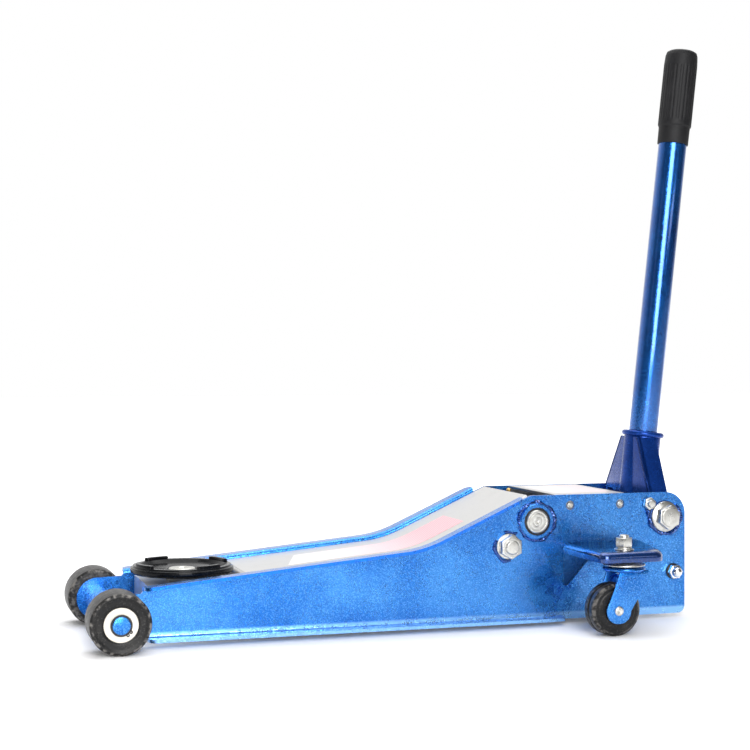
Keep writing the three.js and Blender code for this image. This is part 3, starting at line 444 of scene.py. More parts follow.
# %% Scuffs and dust
def make_scuff_group():
    inputs = [
        ("Clean", COLOR, (0.02, 0.02, 0.02, 1)), ("Scuffed", COLOR, (0.2, 0.19, 0.18, 1)),
        ("Scuff Amount", FLOAT, 0.3), ("Gloss", FLOAT, 0.5), ("Grain", FLOAT, 700.0),
        ("Grain Depth", FLOAT, 0.2),
    ]
    group, given = new_group("scuffs", inputs)
    place = put(group, "ShaderNodeTexCoord").outputs["Object"]
    grain = put(group, "ShaderNodeTexNoise", {"Vector": place, "Scale": given["Grain"], "Detail": 2.0})
    broad = put(group, "ShaderNodeTexNoise", {"Vector": place, "Scale": 45.0, "Detail": 6.0})
    specks = put(group, "ShaderNodeTexNoise", {"Vector": place, "Scale": 480.0, "Detail": 3.0})
    patches = spread(group, broad.outputs["Fac"], 0.45, 0.7)
    dots = spread(group, specks.outputs["Fac"], 0.56, 0.66)
    mask = math_node(group, "MULTIPLY_ADD", patches, 0.4, math_node(group, "MULTIPLY", dots, 0.6))
    mask = math_node(group, "MULTIPLY", mask, given["Scuff Amount"], clamp=True)
    color = blend_colors(group, mask, given["Clean"], given["Scuffed"])
    rough = math_node(group, "MULTIPLY_ADD", mask, 0.35, given["Gloss"])
    bump = put(group, "ShaderNodeBump", {"Height": grain.outputs["Fac"]})
    group.links.new(given["Grain Depth"], bump.inputs["Strength"])
    bump.inputs["Distance"].default_value = 0.0004
    return give_surface(group, color, rough, bump.outputs["Normal"])


SCUFFS = make_scuff_group()
print("shader groups:", [group.name for group in bpy.data.node_groups])

# %% [markdown]
# ## Finishes
#
# Each material is a Principled shader whose colour, roughness and normal come from one of the
# groups. What is the same all over, such as how metallic it is or how thick its lacquer, is set
# on the shader itself.


# %% A finish from a group
def finish(name, group, values, **uniform):
    made = bpy.data.materials.new(name)
    made.use_nodes = True
    tree = made.node_tree
    shader = tree.nodes["Principled BSDF"]
    effect = put(tree, "ShaderNodeGroup", node_tree=group)
    for key, value in values.items():
        effect.inputs[key].default_value = value
    for output, target in (("Color", "Base Color"), ("Roughness", "Roughness"), ("Normal", "Normal")):
        tree.links.new(effect.outputs[output], shader.inputs[target])
    for key, value in uniform.items():
        shader.inputs[key.replace("_", " ")].default_value = value
    return made


def flaked(name, deep, bright, gloss, tilt, **uniform):
    values = {"Deep": (*deep, 1), "Bright": (*bright, 1), "Gloss": gloss, "Tilt": tilt}
    return finish(name, FLAKE, values, **uniform)


def scuffed(name, clean, worn, amount, gloss, grain, depth, **uniform):
    values = {"Clean": (*clean, 1), "Scuffed": (*worn, 1), "Scuff Amount": amount}
    values |= {"Gloss": gloss, "Grain": grain, "Grain Depth": depth}
    return finish(name, SCUFFS, values, **uniform)


def tooled(name, tone, gloss, metallic, stain=(0.32, 0.29, 0.24), amount=0.35):
    values = {"Tone": (*tone, 1), "Stain": (*stain, 1), "Stain Amount": amount, "Gloss": gloss}
    return finish(name, TOOL_MARKS, values, Metallic=metallic)


# %% Paints, black parts and metals
def coated(metallic, coat, coat_roughness, **more):
    return {"Metallic": metallic, "Coat_Weight": coat, "Coat_Roughness": coat_roughness, **more}


BLUE = flaked(
    "blue_flake_paint", (0.004, 0.13, 0.52), (0.12, 0.46, 1.0), 0.24, 0.2, **coated(0.92, 0.45, 0.1)
)
TUBE_BLUE = flaked(
    "tube_flake_paint", (0.001, 0.055, 0.28), (0.012, 0.21, 0.70), 0.17, 0.1, **coated(0.85, 1.0, 0.1)
)
# The caster shelf wears the frame's blue paint; this darker copy of it is painted shade.
SHELF_BLUE_PAINTED_SHADE = flaked(
    "shelf_blue_painted_shade", (0.003, 0.03, 0.15), (0.01, 0.085, 0.38), 0.22, 0.1, **coated(0.7, 1.0, 0.1)
)
# The gusset wears the frame's blue paint too; this much darker copy is painted shade on a face turned away
# from the light.
GUSSET_BLUE_PAINTED_SHADE = flaked(
    "gusset_blue_painted_shade", (0.0005, 0.005, 0.03), (0.0015, 0.014, 0.075), 0.2, 0.1, **coated(0.6, 0.25, 0.08)
)
NAVY_COAT = coated(0.55, 0.08, 0.12, Specular_IOR_Level=0.2)
NAVY = flaked("navy_paint", (0.004, 0.030, 0.19), (0.012, 0.085, 0.46), 0.2, 0.12, **NAVY_COAT)
WELD = flaked(
    "painted_weld", (0.003, 0.035, 0.20), (0.012, 0.11, 0.46), 0.14, 0.12, **coated(0.75, 1.0, 0.05)
)
GREY_COAT = coated(0.35, 0.3, 0.2)
GREY = scuffed(
    "light_grey_paint", (0.56, 0.555, 0.545), (0.45, 0.45, 0.45), 0.25, 0.34, 900.0, 0.12, **GREY_COAT
)
BLACK_COAT = coated(0.0, 0.05, 0.14, Specular_IOR_Level=0.16)
BLACK = scuffed(
    "saddle_black_paint", (0.0025, 0.003, 0.004), (0.035, 0.038, 0.045), 0.3, 0.2, 420.0, 0.22, **BLACK_COAT
)
TREAD = scuffed(
    "wheel_black", (0.004, 0.004, 0.0045), (0.07, 0.066, 0.062), 0.6, 0.4, 500.0, 0.3, Specular_IOR_Level=0.3
)
WORN_TREAD = (0.20, 0.188, 0.175, 1)


def base_color_of(material):
    """The material's tree, its base colour input, and what feeds it now."""
    socket = material.node_tree.nodes["Principled BSDF"].inputs["Base Color"]
    return material.node_tree, socket, socket.links[0].from_socket


def wear_edges(material):
    """Greys the rims that carry a wear value, in broken patches, as rolling on grit does."""
    tree, socket, clean = base_color_of(material)
    worn = put(tree, "ShaderNodeAttribute", attribute_name="wear")
    place = put(tree, "ShaderNodeTexCoord").outputs["Object"]
    broken = put(tree, "ShaderNodeTexNoise", {"Vector": place, "Scale": 170.0, "Detail": 5.0})
    patches = spread(tree, broken.outputs["Fac"], 0.44, 0.62)
    amount = math_node(tree, "MULTIPLY", worn.outputs["Fac"], patches)
    tree.links.new(blend_colors(tree, amount, clean, WORN_TREAD), socket)


wear_edges(TREAD)
GRIP_LOOK = {"grain": 1500.0, "depth": 0.35, "Specular_IOR_Level": 0.28}
GRIP = scuffed("grip_rubber", (0.006, 0.006, 0.007), (0.03, 0.03, 0.032), 0.3, 0.55, **GRIP_LOOK)
CASTING = scuffed("dark_casting", (0.03, 0.036, 0.05), (0.12, 0.12, 0.13), 0.4, 0.5, 350.0, 0.6, Metallic=0.3)
ZINC = tooled("zinc_plate", (0.66, 0.655, 0.62), 0.16, 0.95, amount=0.4)
CHROME = tooled("bright_chrome", (0.86, 0.86, 0.87), 0.04, 1.0, amount=0.08)
CREAM = tooled("washer_cream", (0.84, 0.79, 0.70), 0.36, 0.15, stain=(0.5, 0.46, 0.38))
BRASS = tooled("nipple_brass", (0.75, 0.49, 0.17), 0.18, 1.0, stain=(0.3, 0.17, 0.05))
DARK_STEEL = tooled("oiled_dark_steel", (0.035, 0.035, 0.038), 0.25, 0.6, stain=(0.02, 0.016, 0.012))
print("finishes:", len(bpy.data.materials))

# %% [markdown]
# The floor is plain and pale, with nothing on it but the jack's soft shadow. Far from the jack
# it glows a little, as a lit sweep does, so that no horizon shows.

# %% Floor
floor_bm = bmesh.new()
bmesh.ops.create_grid(floor_bm, x_segments=1, y_segments=1, size=14)
floor_mesh = bpy.data.meshes.new("floor")
floor_bm.to_mesh(floor_mesh)
floor_bm.free()
floor = bpy.data.objects.new("floor", floor_mesh)
scene.collection.objects.link(floor)
floor_finish = bpy.data.materials.new("pale_floor")
floor_finish.use_nodes = True
floor_shader = floor_finish.node_tree.nodes["Principled BSDF"]
floor_shader.inputs["Base Color"].default_value = (0.96, 0.96, 0.965, 1)
floor_shader.inputs["Roughness"].default_value = 0.8
floor_shader.inputs["Specular IOR Level"].default_value = 0.0
floor_shader.inputs["Emission Color"].default_value = (1, 1, 1, 1)
floor_tree = floor_finish.node_tree
floor_place = put(floor_tree, "ShaderNodeTexCoord").outputs["Object"]
depth = put(floor_tree, "ShaderNodeSeparateXYZ", {"Vector": floor_place}).outputs["Y"]
far_glow = spread(floor_tree, depth, 0.3, 1.6, 0.06, 1.0)
floor_tree.links.new(far_glow, floor_shader.inputs["Emission Strength"])
floor_mesh.materials.append(floor_finish)

# %% [markdown]
# ## Pressed plate
#
# The side plates, the arm's folded cover, the seat and the rear cover are steel plate, cut and
# folded. Their solids already have the right outline, so they stay. Weld joins the loose
# triangles, Bevel rounds the cut edges by less than a millimetre, and Weighted Normal keeps the
# big flat faces flat while the folds stay smooth. Paint settles thicker and deeper in colour on
# a flange's sheared edge. A lighter blue along the side plates' foot is a painted highlight on
# the bottom bend, and the rear cover's front fold is painted near-black as painted shade. Each
# second colour is put where it belongs by a mask along one axis.


# %% Dress a solid
def dress(node_name, material, edge=0.6, crease=30):
    solid = frame["nodes"][node_name]
    solid.data.materials.clear()
    solid.data.materials.append(material)
    weld = solid.modifiers.new("join", "WELD")
    weld.merge_threshold = 2e-5
    if edge:
        bevel = solid.modifiers.new("soft_edges", "BEVEL")
        bevel.width = edge * MM
        bevel.segments = 2
        bevel.limit_method = "ANGLE"
        bevel.angle_limit = math.radians(crease)
        bevel.harden_normals = False
    solid.data.shade_smooth()
    solid.data.set_sharp_from_angle(angle=math.radians(crease + 5))
    weigh = solid.modifiers.new("flat_faces", "WEIGHTED_NORMAL")
    weigh.weight = 80
    weigh.keep_sharp = True
    return solid


def masked(base, name, axis, edge, width, color, both_sides=False):
    """A copy of a finish that takes another colour beyond a place along one axis."""
    made = base.copy()
    made.name = name
    tree, socket, clean = base_color_of(made)
    place = put(tree, "ShaderNodeTexCoord").outputs["Object"]
    along = put(tree, "ShaderNodeSeparateXYZ", {"Vector": place}).outputs[axis]
    if both_sides:
        along = math_node(tree, "ABSOLUTE", along)
    mask = spread(tree, along, edge, edge + width)
    tree.links.new(blend_colors(tree, mask, clean, color), socket)
    return made


PLATE_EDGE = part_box("side_plate_right")[1].y
PLATE_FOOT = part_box("side_plate_right")[0].z
SHEARED = (0.006, 0.17, 0.80, 1)
# The lighter blue at the side plates' foot, fading out 11 mm above it, is a painted highlight on the bottom
# bend.
BEND_PAINTED_HIGHLIGHT = (0.26, 0.56, 1.0, 1)
EDGED_BLUE = masked(BLUE, "edged_flake_paint", "Y", PLATE_EDGE - 1.2 * MM, 0.8 * MM, SHEARED, True)
PLATE_BLUE_BEND_HIGHLIGHT = masked(EDGED_BLUE, "plate_flake_paint_bend_highlight", "Z", PLATE_FOOT + 11 * MM, -4 * MM, BEND_PAINTED_HIGHLIGHT)
COVER_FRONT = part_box("rear_cover")[0].x
# The rear cover's front fold lies in shade; its near-black is painted shade.
FOLD_PAINTED_SHADE = (0.012, 0.012, 0.014, 1)
COVER_GREY_FOLD_SHADE = masked(GREY, "cover_grey_painted_fold_shade", "X", COVER_FRONT + 3.2 * MM, -0.8 * MM, FOLD_PAINTED_SHADE)
for side in SIDES:
    dress(f"side_plate_{side}", PLATE_BLUE_BEND_HIGHLIGHT, 0.7)
    dress(f"radius_rod_{side}", BLACK, 0.6)
    dress(f"return_spring_{side}", ZINC, 0)
dress("lift_arm", GREY, 0.6)
dress("saddle_seat", GREY, 0.8)
dress("rear_cover", COVER_GREY_FOLD_SHADE, 0.5)
dress("power_unit", CASTING, 1.2)
dress("ram", ZINC, 0.6)
dress("front_axle_tube", BLUE, 0.4)
for pin in ("crank_pin", "seat_pin", "rod_tip_pin", "pump_plunger", "release_spindle"):
    dress(pin, ZINC, 0.4)
dress("plunger_spring", ZINC, 0)
print("dressed solids keep", sum(len(o.modifiers) for o in frame["nodes"].values()), "modifiers")

# %% [markdown]
# ## Front wheels
#
# The front wheels are solid rollers with a shallow recess in the outer face. A pressed washer
# covers the bearing, and a circlip in a groove holds the wheel on the axle's painted end.

# %% Front wheels, washers and circlips
WHEEL_LOW, WHEEL_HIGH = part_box("front_wheel_right")
WHEEL_AXLE = Vector(((WHEEL_LOW.x + WHEEL_HIGH.x) / 2, 0, (WHEEL_LOW.z + WHEEL_HIGH.z) / 2))
WHEEL_RADIUS = (WHEEL_HIGH.z - WHEEL_LOW.z) / 2 / MM
AXLE_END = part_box("front_axle")[1].y / MM
WASHER_RADIUS = 19.8


def mark_wear(bm, centre, inner, outer, radius):
    """Writes how worn each point is: most at the two rims, a little on the tread."""
    layer = bm.verts.layers.float.new("wear")
    for vert in bm.verts:
        reach = Vector((vert.co.x - centre.x, vert.co.z - centre.z)).length / MM
        rim = min(abs(vert.co.y / MM - inner), abs(vert.co.y / MM - outer))
        near_edge = max(0.0, 1 - abs(reach - radius + 1.2) / 3.2) * max(0.0, 1 - rim / 5.0)
        tread = 0.3 if reach > radius - 0.5 else 0.0
        vert[layer] = min(1.0, max(tread, near_edge * 1.6))
    return bm


def front_wheel():
    inner, outer = WHEEL_LOW.y / MM, WHEEL_HIGH.y / MM
    r = WHEEL_RADIUS
    section = [
        (10.9, inner), (r - 2.6, inner), (r, inner + 2.8), (r, outer - 2.8), (r - 2.2, outer - 0.2),
        (r - 4.2, outer), (r - 7.5, outer - 1.4), (WASHER_RADIUS + 2.4, outer - 1.6),
        (WASHER_RADIUS + 1, outer - 2.6), (10.9, outer - 2.6),
    ]
    wheel = turn(section, WHEEL_AXLE, rounding=1.0, steps=96)
    return mark_wear(wheel, WHEEL_AXLE, inner, outer, r)


def axle_washer():
    low, high = reach_of("axle_washer_right")
    section = [(10.9, low), (WASHER_RADIUS, low), (WASHER_RADIUS, high - 0.7), (18.4, high), (10.9, high)]
    return turn(section, WHEEL_AXLE, rounding=0.35, steps=80)


def circlip():
    """A spring ring, modelled closed, with an eyed lug at each end."""
    bm = bmesh.new()
    start = AXLE_END - 2.3
    section = [(10.3, start), (12.5, start), (12.5, start + 1.2), (10.3, start + 1.2)]
    turn(section, WHEEL_AXLE, rounding=0.2, steps=60, into=bm)
    for angle in (-0.62, -0.98):
        spot = WHEEL_AXLE + Vector((math.cos(angle), 0, math.sin(angle))) * 13.2 * MM
        turn([(0.7, start), (2, start), (2, start + 1.2), (0.7, start + 1.2)], spot, steps=16, into=bm)
    return bm


AXLE_RADIUS = 10.4
for side, way in SIDES.items():
    wheel, washer, ring = (on_side(way, made) for made in (front_wheel(), axle_washer(), circlip()))
    keep_piece(f"wheel_{side}", wheel, f"wheel_{side}", TREAD, [f"front_wheel_{side}"])
    keep_piece(f"bearing_washer_{side}", washer, "frame", CREAM, [f"axle_washer_{side}"])
    keep_piece(f"circlip_{side}", ring, "frame", DARK_STEEL)
axle_section = [(0, -AXLE_END), (AXLE_RADIUS, -AXLE_END), (AXLE_RADIUS, AXLE_END), (0, AXLE_END)]
axle = turn(axle_section, WHEEL_AXLE, rounding=1.0, steps=64)
keep_piece("front_axle_bar", axle, "frame", BLUE, ["front_axle"])
print("front wheels are", round(2 * WHEEL_RADIUS), "mm across")

# %% [markdown]
# ## The arm's pivot
#
# A thick shaft carries the lifting arm. Its end shows the rings of the cutting tool and a centre
# mark. A dark ring sits round it in a welded boss, and the weld is thick, glossy and uneven.

# %% Pivot shaft, rings and welds
SHAFT_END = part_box("arm_pivot_shaft")[1].y / MM
SHAFT_RADIUS = 14.7


def pivot_shaft():
    end = SHAFT_END
    half = [
        (SHAFT_RADIUS, end - 1.3), (SHAFT_RADIUS - 1.3, end), (11.6, end), (11.2, end - 0.5),
        (10.6, end - 0.5), (10.2, end), (6.4, end), (6.1, end - 0.35), (5.6, end - 0.35), (5.3, end),
        (2.6, end), (1.2, end - 1.3), (0, end - 1.6),
    ]
    section = [(r, -y) for r, y in reversed(half)] + half
    return turn(section, ARM_PIVOT, rounding=0.15, steps=72)


keep_piece("arm_shaft", pivot_shaft(), "frame", ZINC, ["arm_pivot_shaft"])
for side, way in SIDES.items():
    ring = turn([(14.9, 80), (17.4, 80), (17.4, 86.2), (14.9, 86.2)], ARM_PIVOT, rounding=0.4)
    boss = turn([(17.5, 81), (23.4, 81), (23.4, 83.6), (21.4, 85.6), (17.5, 86.0)], ARM_PIVOT, rounding=0.8)
    welds = bead(ARM_PIVOT + Y_AXIS * 82.9 * MM, Y_AXIS, 23.8, 2.5, seed=3)
    ring, boss, welds = (on_side(way, made) for made in (ring, boss, welds))
    keep_piece(f"pivot_ring_{side}", ring, "frame", DARK_STEEL)
    keep_piece(f"pivot_boss_{side}", boss, "frame", BLUE)
    keep_piece(f"pivot_weld_{side}", welds, "frame", WELD)

# %% [markdown]
# ## Bolts and nuts
#
# Every fastener but the domed nuts and their washers is zinc plated; the domed nuts are chrome
# and their washers dark steel. A hexagon starts as a six-sided cone of equal radii whose sharp
# rims are bevelled, and the threaded end that stands out of a nut is a turned stud with a
# chamfer.


# %% Rod anchor nuts
def anchor_stud():
    low, high = reach_of("rod_anchor_stud_right")
    high -= 4.5
    section = [(0, low), (13, low), (13, low + 4.7), (9, low + 4.7), (9, high - 1.4), (7.6, high), (0, high)]
    return turn(section, ROD_ANCHOR, rounding=0.3, steps=48)


def anchor_nut():
    bm = bmesh.new()
    turn([(9.4, 82.3), (16, 82.3), (16, 84.6), (9.4, 84.6)], ROD_ANCHOR, rounding=0.5, into=bm)
    hexagon(26.6, 84.6, 95.2, ROD_ANCHOR, Y_AXIS, 0.0, into=bm)
    turn([(9.1, 94.8), (11.8, 94.8), (11.2, 95.8), (9.1, 95.8)], ROD_ANCHOR, rounding=0.2, into=bm)
    return bm


for side, way in SIDES.items():
    stud, nut = anchor_stud(), anchor_nut()
    lump = bead(ROD_ANCHOR + Y_AXIS * 82.7 * MM, Y_AXIS, 18.2, 2.3, 2.2, 2.2, seed=7)
    bead(ROD_ANCHOR + Y_AXIS * 82.7 * MM, Y_AXIS, 18.6, 2.1, 5.2, 0.9, seed=9, into=lump)
    stud, nut, lump = (on_side(way, made) for made in (stud, nut, lump))
    keep_piece(f"anchor_stud_{side}", stud, "frame", ZINC, [f"rod_anchor_stud_{side}"])
    keep_piece(f"anchor_nut_{side}", nut, "frame", ZINC, [f"rod_anchor_nut_{side}"])
    keep_piece(f"anchor_weld_{side}", lump, "frame", WELD)


# %% Handle pivot bolts
def handle_bolt():
    bm = bmesh.new()
    low, high = reach_of("handle_pivot_bolt_right")
    seat = 84.3
    section = [
        (0, low), (12, low), (13, low + 1), (13, seat), (19.6, seat), (19.6, seat + 1.6),
        (18.6, seat + 2.4), (13.6, seat + 4.4), (0, seat + 4.4),
    ]
    turn(section, HANDLE_PIVOT, rounding=0.4, steps=72, into=bm)
    hexagon(27.5, seat + 3.6, high - 1.2, HANDLE_PIVOT, Y_AXIS, 0.12, into=bm)
    turn([(0, high - 1.6), (12.4, high - 1.6), (11.6, high), (0, high)], HANDLE_PIVOT, rounding=0.4, into=bm)
    return bm


for side, way in SIDES.items():
    bolt = handle_bolt()
    welds = bead(HANDLE_PIVOT + Y_AXIS * 82.9 * MM, Y_AXIS, 22.6, 2.9, 0.0, 4.9, seed=11)
    boss = turn([(13.4, 81), (20.6, 81), (20.6, 83.9), (13.4, 83.9)], HANDLE_PIVOT, rounding=0.4)
    bolt, welds, boss = (on_side(way, made) for made in (bolt, welds, boss))
    keep_piece(f"handle_bolt_{side}", bolt, "frame", ZINC, [f"handle_pivot_bolt_{side}"])
    keep_piece(f"handle_weld_{side}", welds, "frame", WELD)
    keep_piece(f"handle_boss_{side}", boss, "frame", WELD)


# %% Tie bolts and domed nuts
def centre_of(node_name):
    low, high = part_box(node_name)
    return Vector(((low.x + high.x) / 2, 0, (low.z + high.z) / 2))


def upper_tie():
    bm = bmesh.new()
    spot = centre_of("upper_tie_bolt")
    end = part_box("upper_tie_bolt")[1].y / MM
    thread = [(0, -end), (4.2, -end), (5, -end + 0.8), (5, end - 0.8), (4.2, end), (0, end)]
    turn(thread, spot, rounding=0.2, steps=32, into=bm)
    for way in SIDES.values():
        merge_into(bm, on_side(way, hexagon(14.6, 82.6, 89.2, spot, Y_AXIS, 0.2)))
    return bm


LOWER_FLATS = 16.8


def domed_nut():
    bm = bmesh.new()
    spot = centre_of("lower_tie_rod")
    hexagon(LOWER_FLATS, 84.1, 91.2, spot, Y_AXIS, 0.5, into=bm)
    dome = [(0, 90.4), (6.9, 90.4), (6.9, 92.6), (6.2, 95.4), (4.4, 97.8), (2.2, 99), (0, 99.3)]
    turn(dome, spot, rounding=0.5, steps=40, into=bm)
    return bm


keep_piece("upper_tie", upper_tie(), "frame", ZINC, ["upper_tie_bolt"])
tie_section = [(0, -88), (5, -88), (5, 88), (0, 88)]
tie_rod = turn(tie_section, centre_of("lower_tie_rod"), steps=32)
keep_piece("lower_tie", tie_rod, "frame", ZINC, ["lower_tie_rod"])
for side, way in SIDES.items():
    nut = domed_nut()
    shim = turn([(5.3, 82.3), (10.2, 82.3), (10.2, 84), (5.3, 84)], centre_of("lower_tie_rod"), rounding=0.4)
    nut, shim = on_side(way, nut), on_side(way, shim)
    keep_piece(f"domed_nut_{side}", nut, "frame", CHROME, [f"tie_cap_nut_{side}"])
    keep_piece(f"domed_nut_washer_{side}", shim, "frame", DARK_STEEL)


# %% Cover screws
def cover_screw(node_name):
    low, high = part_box(node_name)
    spot = centre_of(node_name)
    inner, outer = low.y / MM, high.y / MM
    section = [
        (0, inner), (2.5, inner), (2.5, outer - 4.2), (4.3, outer - 4.2), (4.3, outer - 1.2),
        (3.4, outer), (2.1, outer), (1.9, outer - 1.6), (0, outer - 1.6),
    ]
    return turn(section, spot, rounding=0.25, steps=28)


for side, way in SIDES.items():
    for number in (1, 2):
        screw = on_side(way, cover_screw(f"cover_screw_{number}_right"))
        stands_for = [f"cover_screw_{number}_{side}"]
        keep_piece(f"screw_{number}_{side}", screw, "frame", ZINC, stands_for)

# %% [markdown]
# ## Saddle
#
# The saddle is a round casting: a dished plate with a raised rim, four lugs that stop the load
# from slipping, and a bright screw in the middle. The dish is turned; each lug is a curved block
# cut from the rim's ring, with its edges well rounded as the mould leaves them.

# %% Saddle casting
SADDLE_LOW, SADDLE_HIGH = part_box("saddle")
SADDLE_AXIS = axle_of("saddle_swivel")
SADDLE_FOOT = SADDLE_LOW.z / MM
SADDLE_TOP = SADDLE_HIGH.z / MM
SADDLE_RADIUS = (SADDLE_HIGH.y - SADDLE_LOW.y) / 2 / MM


def saddle_casting():
    bm = bmesh.new()
    base = Vector((SADDLE_AXIS.x, 0, 0))
    foot, r = SADDLE_FOOT, SADDLE_RADIUS
    dish = [
        (5.5, foot), (48, foot), (r - 4, foot + 1.6), (r, foot + 4), (r, foot + 9.3),
        (60.3, foot + 9.9), (59.8, foot + 12), (53, foot + 12), (49, foot + 7.5), (18.4, foot + 6.2),
        (17.8, foot + 4.2), (5.5, foot + 4.2),
    ]
    turn(dish, base, Z_AXIS, rounding=0.8, steps=128, into=bm)
    for number in range(4):
        middle = math.radians(25 + 90 * number)
        merge_into(bm, saddle_lug(base, middle))
    return bm


def saddle_lug(base, middle):
    """A block of the ring between two radii, spun through a small angle."""
    bm = bmesh.new()
    half = math.radians(16.5)
    start = Matrix.Rotation(middle - half, 3, "Z")
    low, high = SADDLE_FOOT + 9, SADDLE_TOP
    section = [(52.6, low), (59.8, low), (59.3, high), (53.2, high)]
    face = [bm.verts.new(base + start @ Vector((r * MM, 0, 0)) + Z_AXIS * z * MM) for r, z in section]
    bm.faces.new(face)
    spin_round(bm, base, Z_AXIS, 2 * half, 12, False)
    bmesh.ops.holes_fill(bm, edges=bm.edges[:], sides=0)
    tidy(bm)
    soften(bm, 1.3, angle=40, segments=3)
    return bm


def saddle_screw_head():
    low, high = reach_of("saddle_screw", "z")
    section = [
        (0, low), (5, low), (5, high - 3.4), (16.4, high - 3.4), (16.4, high - 1.0), (15, high),
        (6.2, high), (5.2, high - 1.2), (0, high - 1.2),
    ]
    return turn(section, Vector((SADDLE_AXIS.x, 0, 0)), Z_AXIS, rounding=0.5, steps=64)


keep_piece("saddle_dish", saddle_casting(), "saddle_plate", BLACK, ["saddle"])
keep_piece("saddle_centre_screw", saddle_screw_head(), "seat", ZINC, ["saddle_screw"])
print("saddle stands", round(SADDLE_TOP, 1), "mm high at rest")

# %% [markdown]
# ## Grease nipple
#
# A small brass nipple with a hexagon foot and a ball head stands behind the arm's cover.

# %% Grease nipple
nipple_low, nipple_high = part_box("grease_nipple")
nipple_axis = Vector(((nipple_low.x + nipple_high.x) / 2, 0, 0))
nipple_foot, nipple_top = nipple_low.z / MM, nipple_high.z / MM
nipple = bmesh.new()
hexagon(6.9, nipple_foot + 5, nipple_foot + 10, nipple_axis, Z_AXIS, 0.3, into=nipple)
nipple_section = [
    (0, nipple_foot), (2.3, nipple_foot), (2.3, nipple_top - 6.4), (1.8, nipple_top - 5),
    (3.1, nipple_top - 3.2), (3.1, nipple_top - 1.8), (1.6, nipple_top), (0, nipple_top),
]
turn(nipple_section, nipple_axis, Z_AXIS, rounding=0.4, steps=32, into=nipple)
keep_piece("brass_nipple", nipple, "arm", BRASS, ["grease_nipple"])

# %% [markdown]
# ## Handle socket
#
# The handle stands in a socket: a short tube with a rolled rim, carried by a front web and two
# slanted cheeks that reach down to the pivot bolts. All of it leans back with the tube, so it is
# modelled upright round the pivot and then turned. The lugs under it hold the pump's roller.


# %% Leaning
def lean(bm):
    """Turns an upright shape back by the handle's lean, about the pivot."""
    turn_back = Matrix.Rotation(LEAN, 3, "Y")
    bmesh.ops.rotate(bm, cent=HANDLE_PIVOT, matrix=turn_back, verts=bm.verts[:])
    return bm


def from_pivot(bm):
    """Moves a shape drawn round the origin to the handle's pivot and leans it."""
    bmesh.ops.translate(bm, verts=bm.verts[:], vec=HANDLE_PIVOT)
    return lean(bm)


ORIGIN = Vector((0, 0, 0))
SOCKET_LOW, SOCKET_TOP = 24.0, 104.0
SOCKET_RADIUS = 24.2
TUBE_RADIUS = 19.0
WEB_FRONT = -20.5


def socket_tube():
    bm = bmesh.new()
    bore = TUBE_RADIUS + 0.5
    wall = [(bore, SOCKET_LOW), (SOCKET_RADIUS, SOCKET_LOW), (SOCKET_RADIUS, SOCKET_TOP), (bore, SOCKET_TOP)]
    turn(wall, ORIGIN, Z_AXIS, rounding=0.6, steps=96, into=bm)
    rim = [
        (bore + 0.1, SOCKET_TOP - 2.6), (27.0, SOCKET_TOP - 3.4), (28.1, SOCKET_TOP - 1.2),
        (28.1, SOCKET_TOP + 1.2), (26.4, SOCKET_TOP + 3.4), (22.0, SOCKET_TOP + 3.7),
        (bore + 0.1, SOCKET_TOP + 2.4),
    ]
    turn(rim, ORIGIN, Z_AXIS, rounding=1.3, steps=96, into=bm)
    return from_pivot(bm)


def cheek(way):
    """A slanted cheek: its outline leans inwards as it rises, seen along the jack."""
    low, high = 26, 99
    outline = [(way * 67, low), (way * 61, low), (way * 18.5, high), (way * 24.5, high)]
    return slab(outline, WEB_FRONT, 7.5, "YZ", edge=1.0)


def foot(way):
    """The eye on the pivot bolt, with the short upright that joins the cheek."""
    bm = bmesh.new()
    start, end = (61, 67) if way > 0 else (-67, -61)
    turn([(13.4, start), (19.9, start), (19.9, end), (13.4, end)], ORIGIN, rounding=0.7, into=bm)
    slab([(-13, 15), (15, 13), (15, 28), (-13, 28)], start, end, "XZ", edge=0.8, into=bm)
    return bm


def socket_web():
    bm = bmesh.new()
    front = [(-67, 26), (67, 26), (24.5, 99), (-24.5, 99)]
    slab(front, WEB_FRONT, WEB_FRONT + 6, "YZ", edge=1.0, into=bm)
    for way in SIDES.values():
        merge_into(bm, cheek(way))
    for vert in bm.verts:
        vert.co.x += max(0.0, 99 * MM - vert.co.z) * 0.055
    for way in SIDES.values():
        merge_into(bm, foot(way))
    slab([(-16, 14), (12, 14), (12, 40), (-16, 40)], 23, 30, "XY", edge=0.8, into=bm)
    return from_pivot(bm)


ROLLER_CENTRE = Vector((ROLLER.x, 0, ROLLER.z))


def roller_lugs():
    """Two straps that hold the roller, drawn in place."""
    bm = bmesh.new()
    top = HANDLE_PIVOT + Vector((0.004, 0, 0.027))
    for start in (14.7, 29.3):
        disc = [(0, start), (7, start), (7, start + 4), (0, start + 4)]
        turn(disc, ROLLER_CENTRE, rounding=0.4, steps=40, into=bm)
        low_end, high_end = ROLLER.xz / MM, top.xz / MM
        side = (high_end - low_end).orthogonal().normalized() * 7
        strap = [low_end - side, low_end + side, high_end + side, high_end - side]
        slab(strap, start, start + 4, "XZ", edge=0.5, into=bm)
    turn([(0, 14.2), (4, 14.2), (4, 33.8), (0, 33.8)], ROLLER_CENTRE, rounding=0.3, steps=32, into=bm)
    return bm


keep_piece("socket_web", socket_web(), "yoke", NAVY, ["handle_yoke"])
keep_piece("socket_tube", socket_tube(), "yoke", NAVY)
keep_piece("roller_lugs", roller_lugs(), "yoke", NAVY)
roller_low, roller_high = reach_of("pump_roller")
roller_section = [(4.3, roller_low), (9, roller_low), (9, roller_high), (4.3, roller_high)]
roller = turn(roller_section, ROLLER_CENTRE, rounding=0.5, steps=40)
keep_piece("plunger_roller", roller, "roller", ZINC, ["pump_roller"])

# %% [markdown]
# ## Handle and grip
#
# The handle is a painted tube with a push-on rubber grip. The grip steps in to a plain collar at
# its foot; above that it is fluted, so the hand does not slip, and its end is domed.

